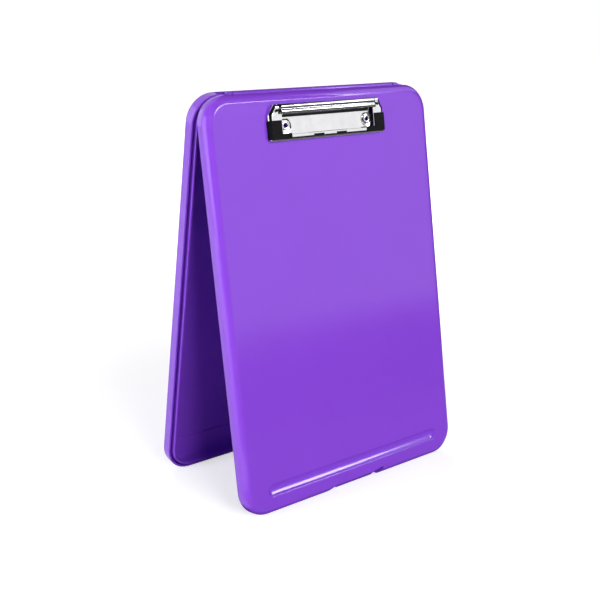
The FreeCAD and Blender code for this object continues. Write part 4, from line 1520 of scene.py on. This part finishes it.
def studio_world():
    """Soft even light from all round, white to the camera, in gloss and through clear things."""
    world = bpy.data.worlds.new("studio")
    world.use_nodes = True
    bpy.context.scene.world = world
    tree = Nodes(world.node_tree)
    shown = tree.add("ShaderNodeBackground", {"Color": WHITE, "Strength": 1.0})
    ambient = tree.add("ShaderNodeBackground", {"Color": WHITE, "Strength": AMBIENT})
    mix = tree.add("ShaderNodeMixShader", {0: tree.seen(), 1: ambient.outputs[0], 2: shown.outputs[0]})
    tree.feed(tree.nodes["World Output"].inputs["Surface"], mix.outputs[0])


class BOX_OT_stage(bpy.types.Operator):
    """The floor, the lamps, the cards that gloss sees, the world and the camera"""

    bl_idname = "clipbox.stage"
    bl_label = "Stage"

    def execute(self, context):
        half = FLOOR_HALF
        left_front, right_front, right_back, left_back = (
            (*corner, 0.0) for corner in box_corners(-half, -half, half, half)
        )
        grid = np.array([[left_front, right_front], [left_back, right_back]])
        mesh = surface("floor", grid, wrap_columns=False)
        floor = bpy.data.objects.new("floor", mesh)
        mesh.materials.append(floor_material(context.scene.box_colours.floor))
        context.scene.collection.objects.link(floor)
        for lamp in LAMPS:
            soft_lamp(*lamp)
        for name, strength, rows in GLOSS_CARDS:
            gloss_card(name, round_card(rows), strength)
        for name, strength, corners in FLAT_CARDS:
            gloss_card(name, np.array(corners), strength)
        studio_world()
        studio_camera()
        context.scene.view_settings.view_transform = "Standard"
        return {"FINISHED"}


class BOX_PT_panel(bpy.types.Panel):
    """Lists the steps that build the box"""

    bl_label = "Clipboard Box"
    bl_idname = "BOX_PT_panel"
    bl_space_type = "VIEW_3D"
    bl_region_type = "UI"
    bl_category = "Clipboard Box"

    def draw(self, context):
        for step in STEPS:
            self.layout.operator(step.bl_idname)
        for name in GROUPS:
            group = getattr(context.scene, name)
            box = self.layout.box()
            for key in group.bl_rna.properties.keys():
                if key not in ("rna_type", "name"):
                    box.prop(group, key)


STEPS = (
    BOX_OT_stage, BOX_OT_tray, BOX_OT_cover, BOX_OT_pins,
    BOX_OT_plate, BOX_OT_springs, BOX_OT_jaw, BOX_OT_grips,
)
GROUPS = {
    "box_shells": BoxShellSizes,
    "box_trough": BoxTroughSizes,
    "box_notch": BoxNotchSizes,
    "box_hinge": BoxHingeSizes,
    "box_clip": BoxClipSizes,
    "box_plate": BoxPlateSizes,
    "box_spring": BoxSpringSizes,
    "box_colours": BoxColours,
}


def register():
    for kind in (*GROUPS.values(), *STEPS, BOX_PT_panel):
        bpy.utils.register_class(kind)
    for name, kind in GROUPS.items():
        setattr(bpy.types.Scene, name, PointerProperty(type=kind))


def unregister():
    for name in GROUPS:
        delattr(bpy.types.Scene, name)
    for kind in reversed((*GROUPS.values(), *STEPS, BOX_PT_panel)):
        bpy.utils.unregister_class(kind)


def main():
    """Builds every piece in order."""
    register()
    for step in STEPS:
        group, name = step.bl_idname.split(".")
        getattr(getattr(bpy.ops, group), name)()
    bpy.context.view_layer.update()


if __name__ == "__main__":
    main()
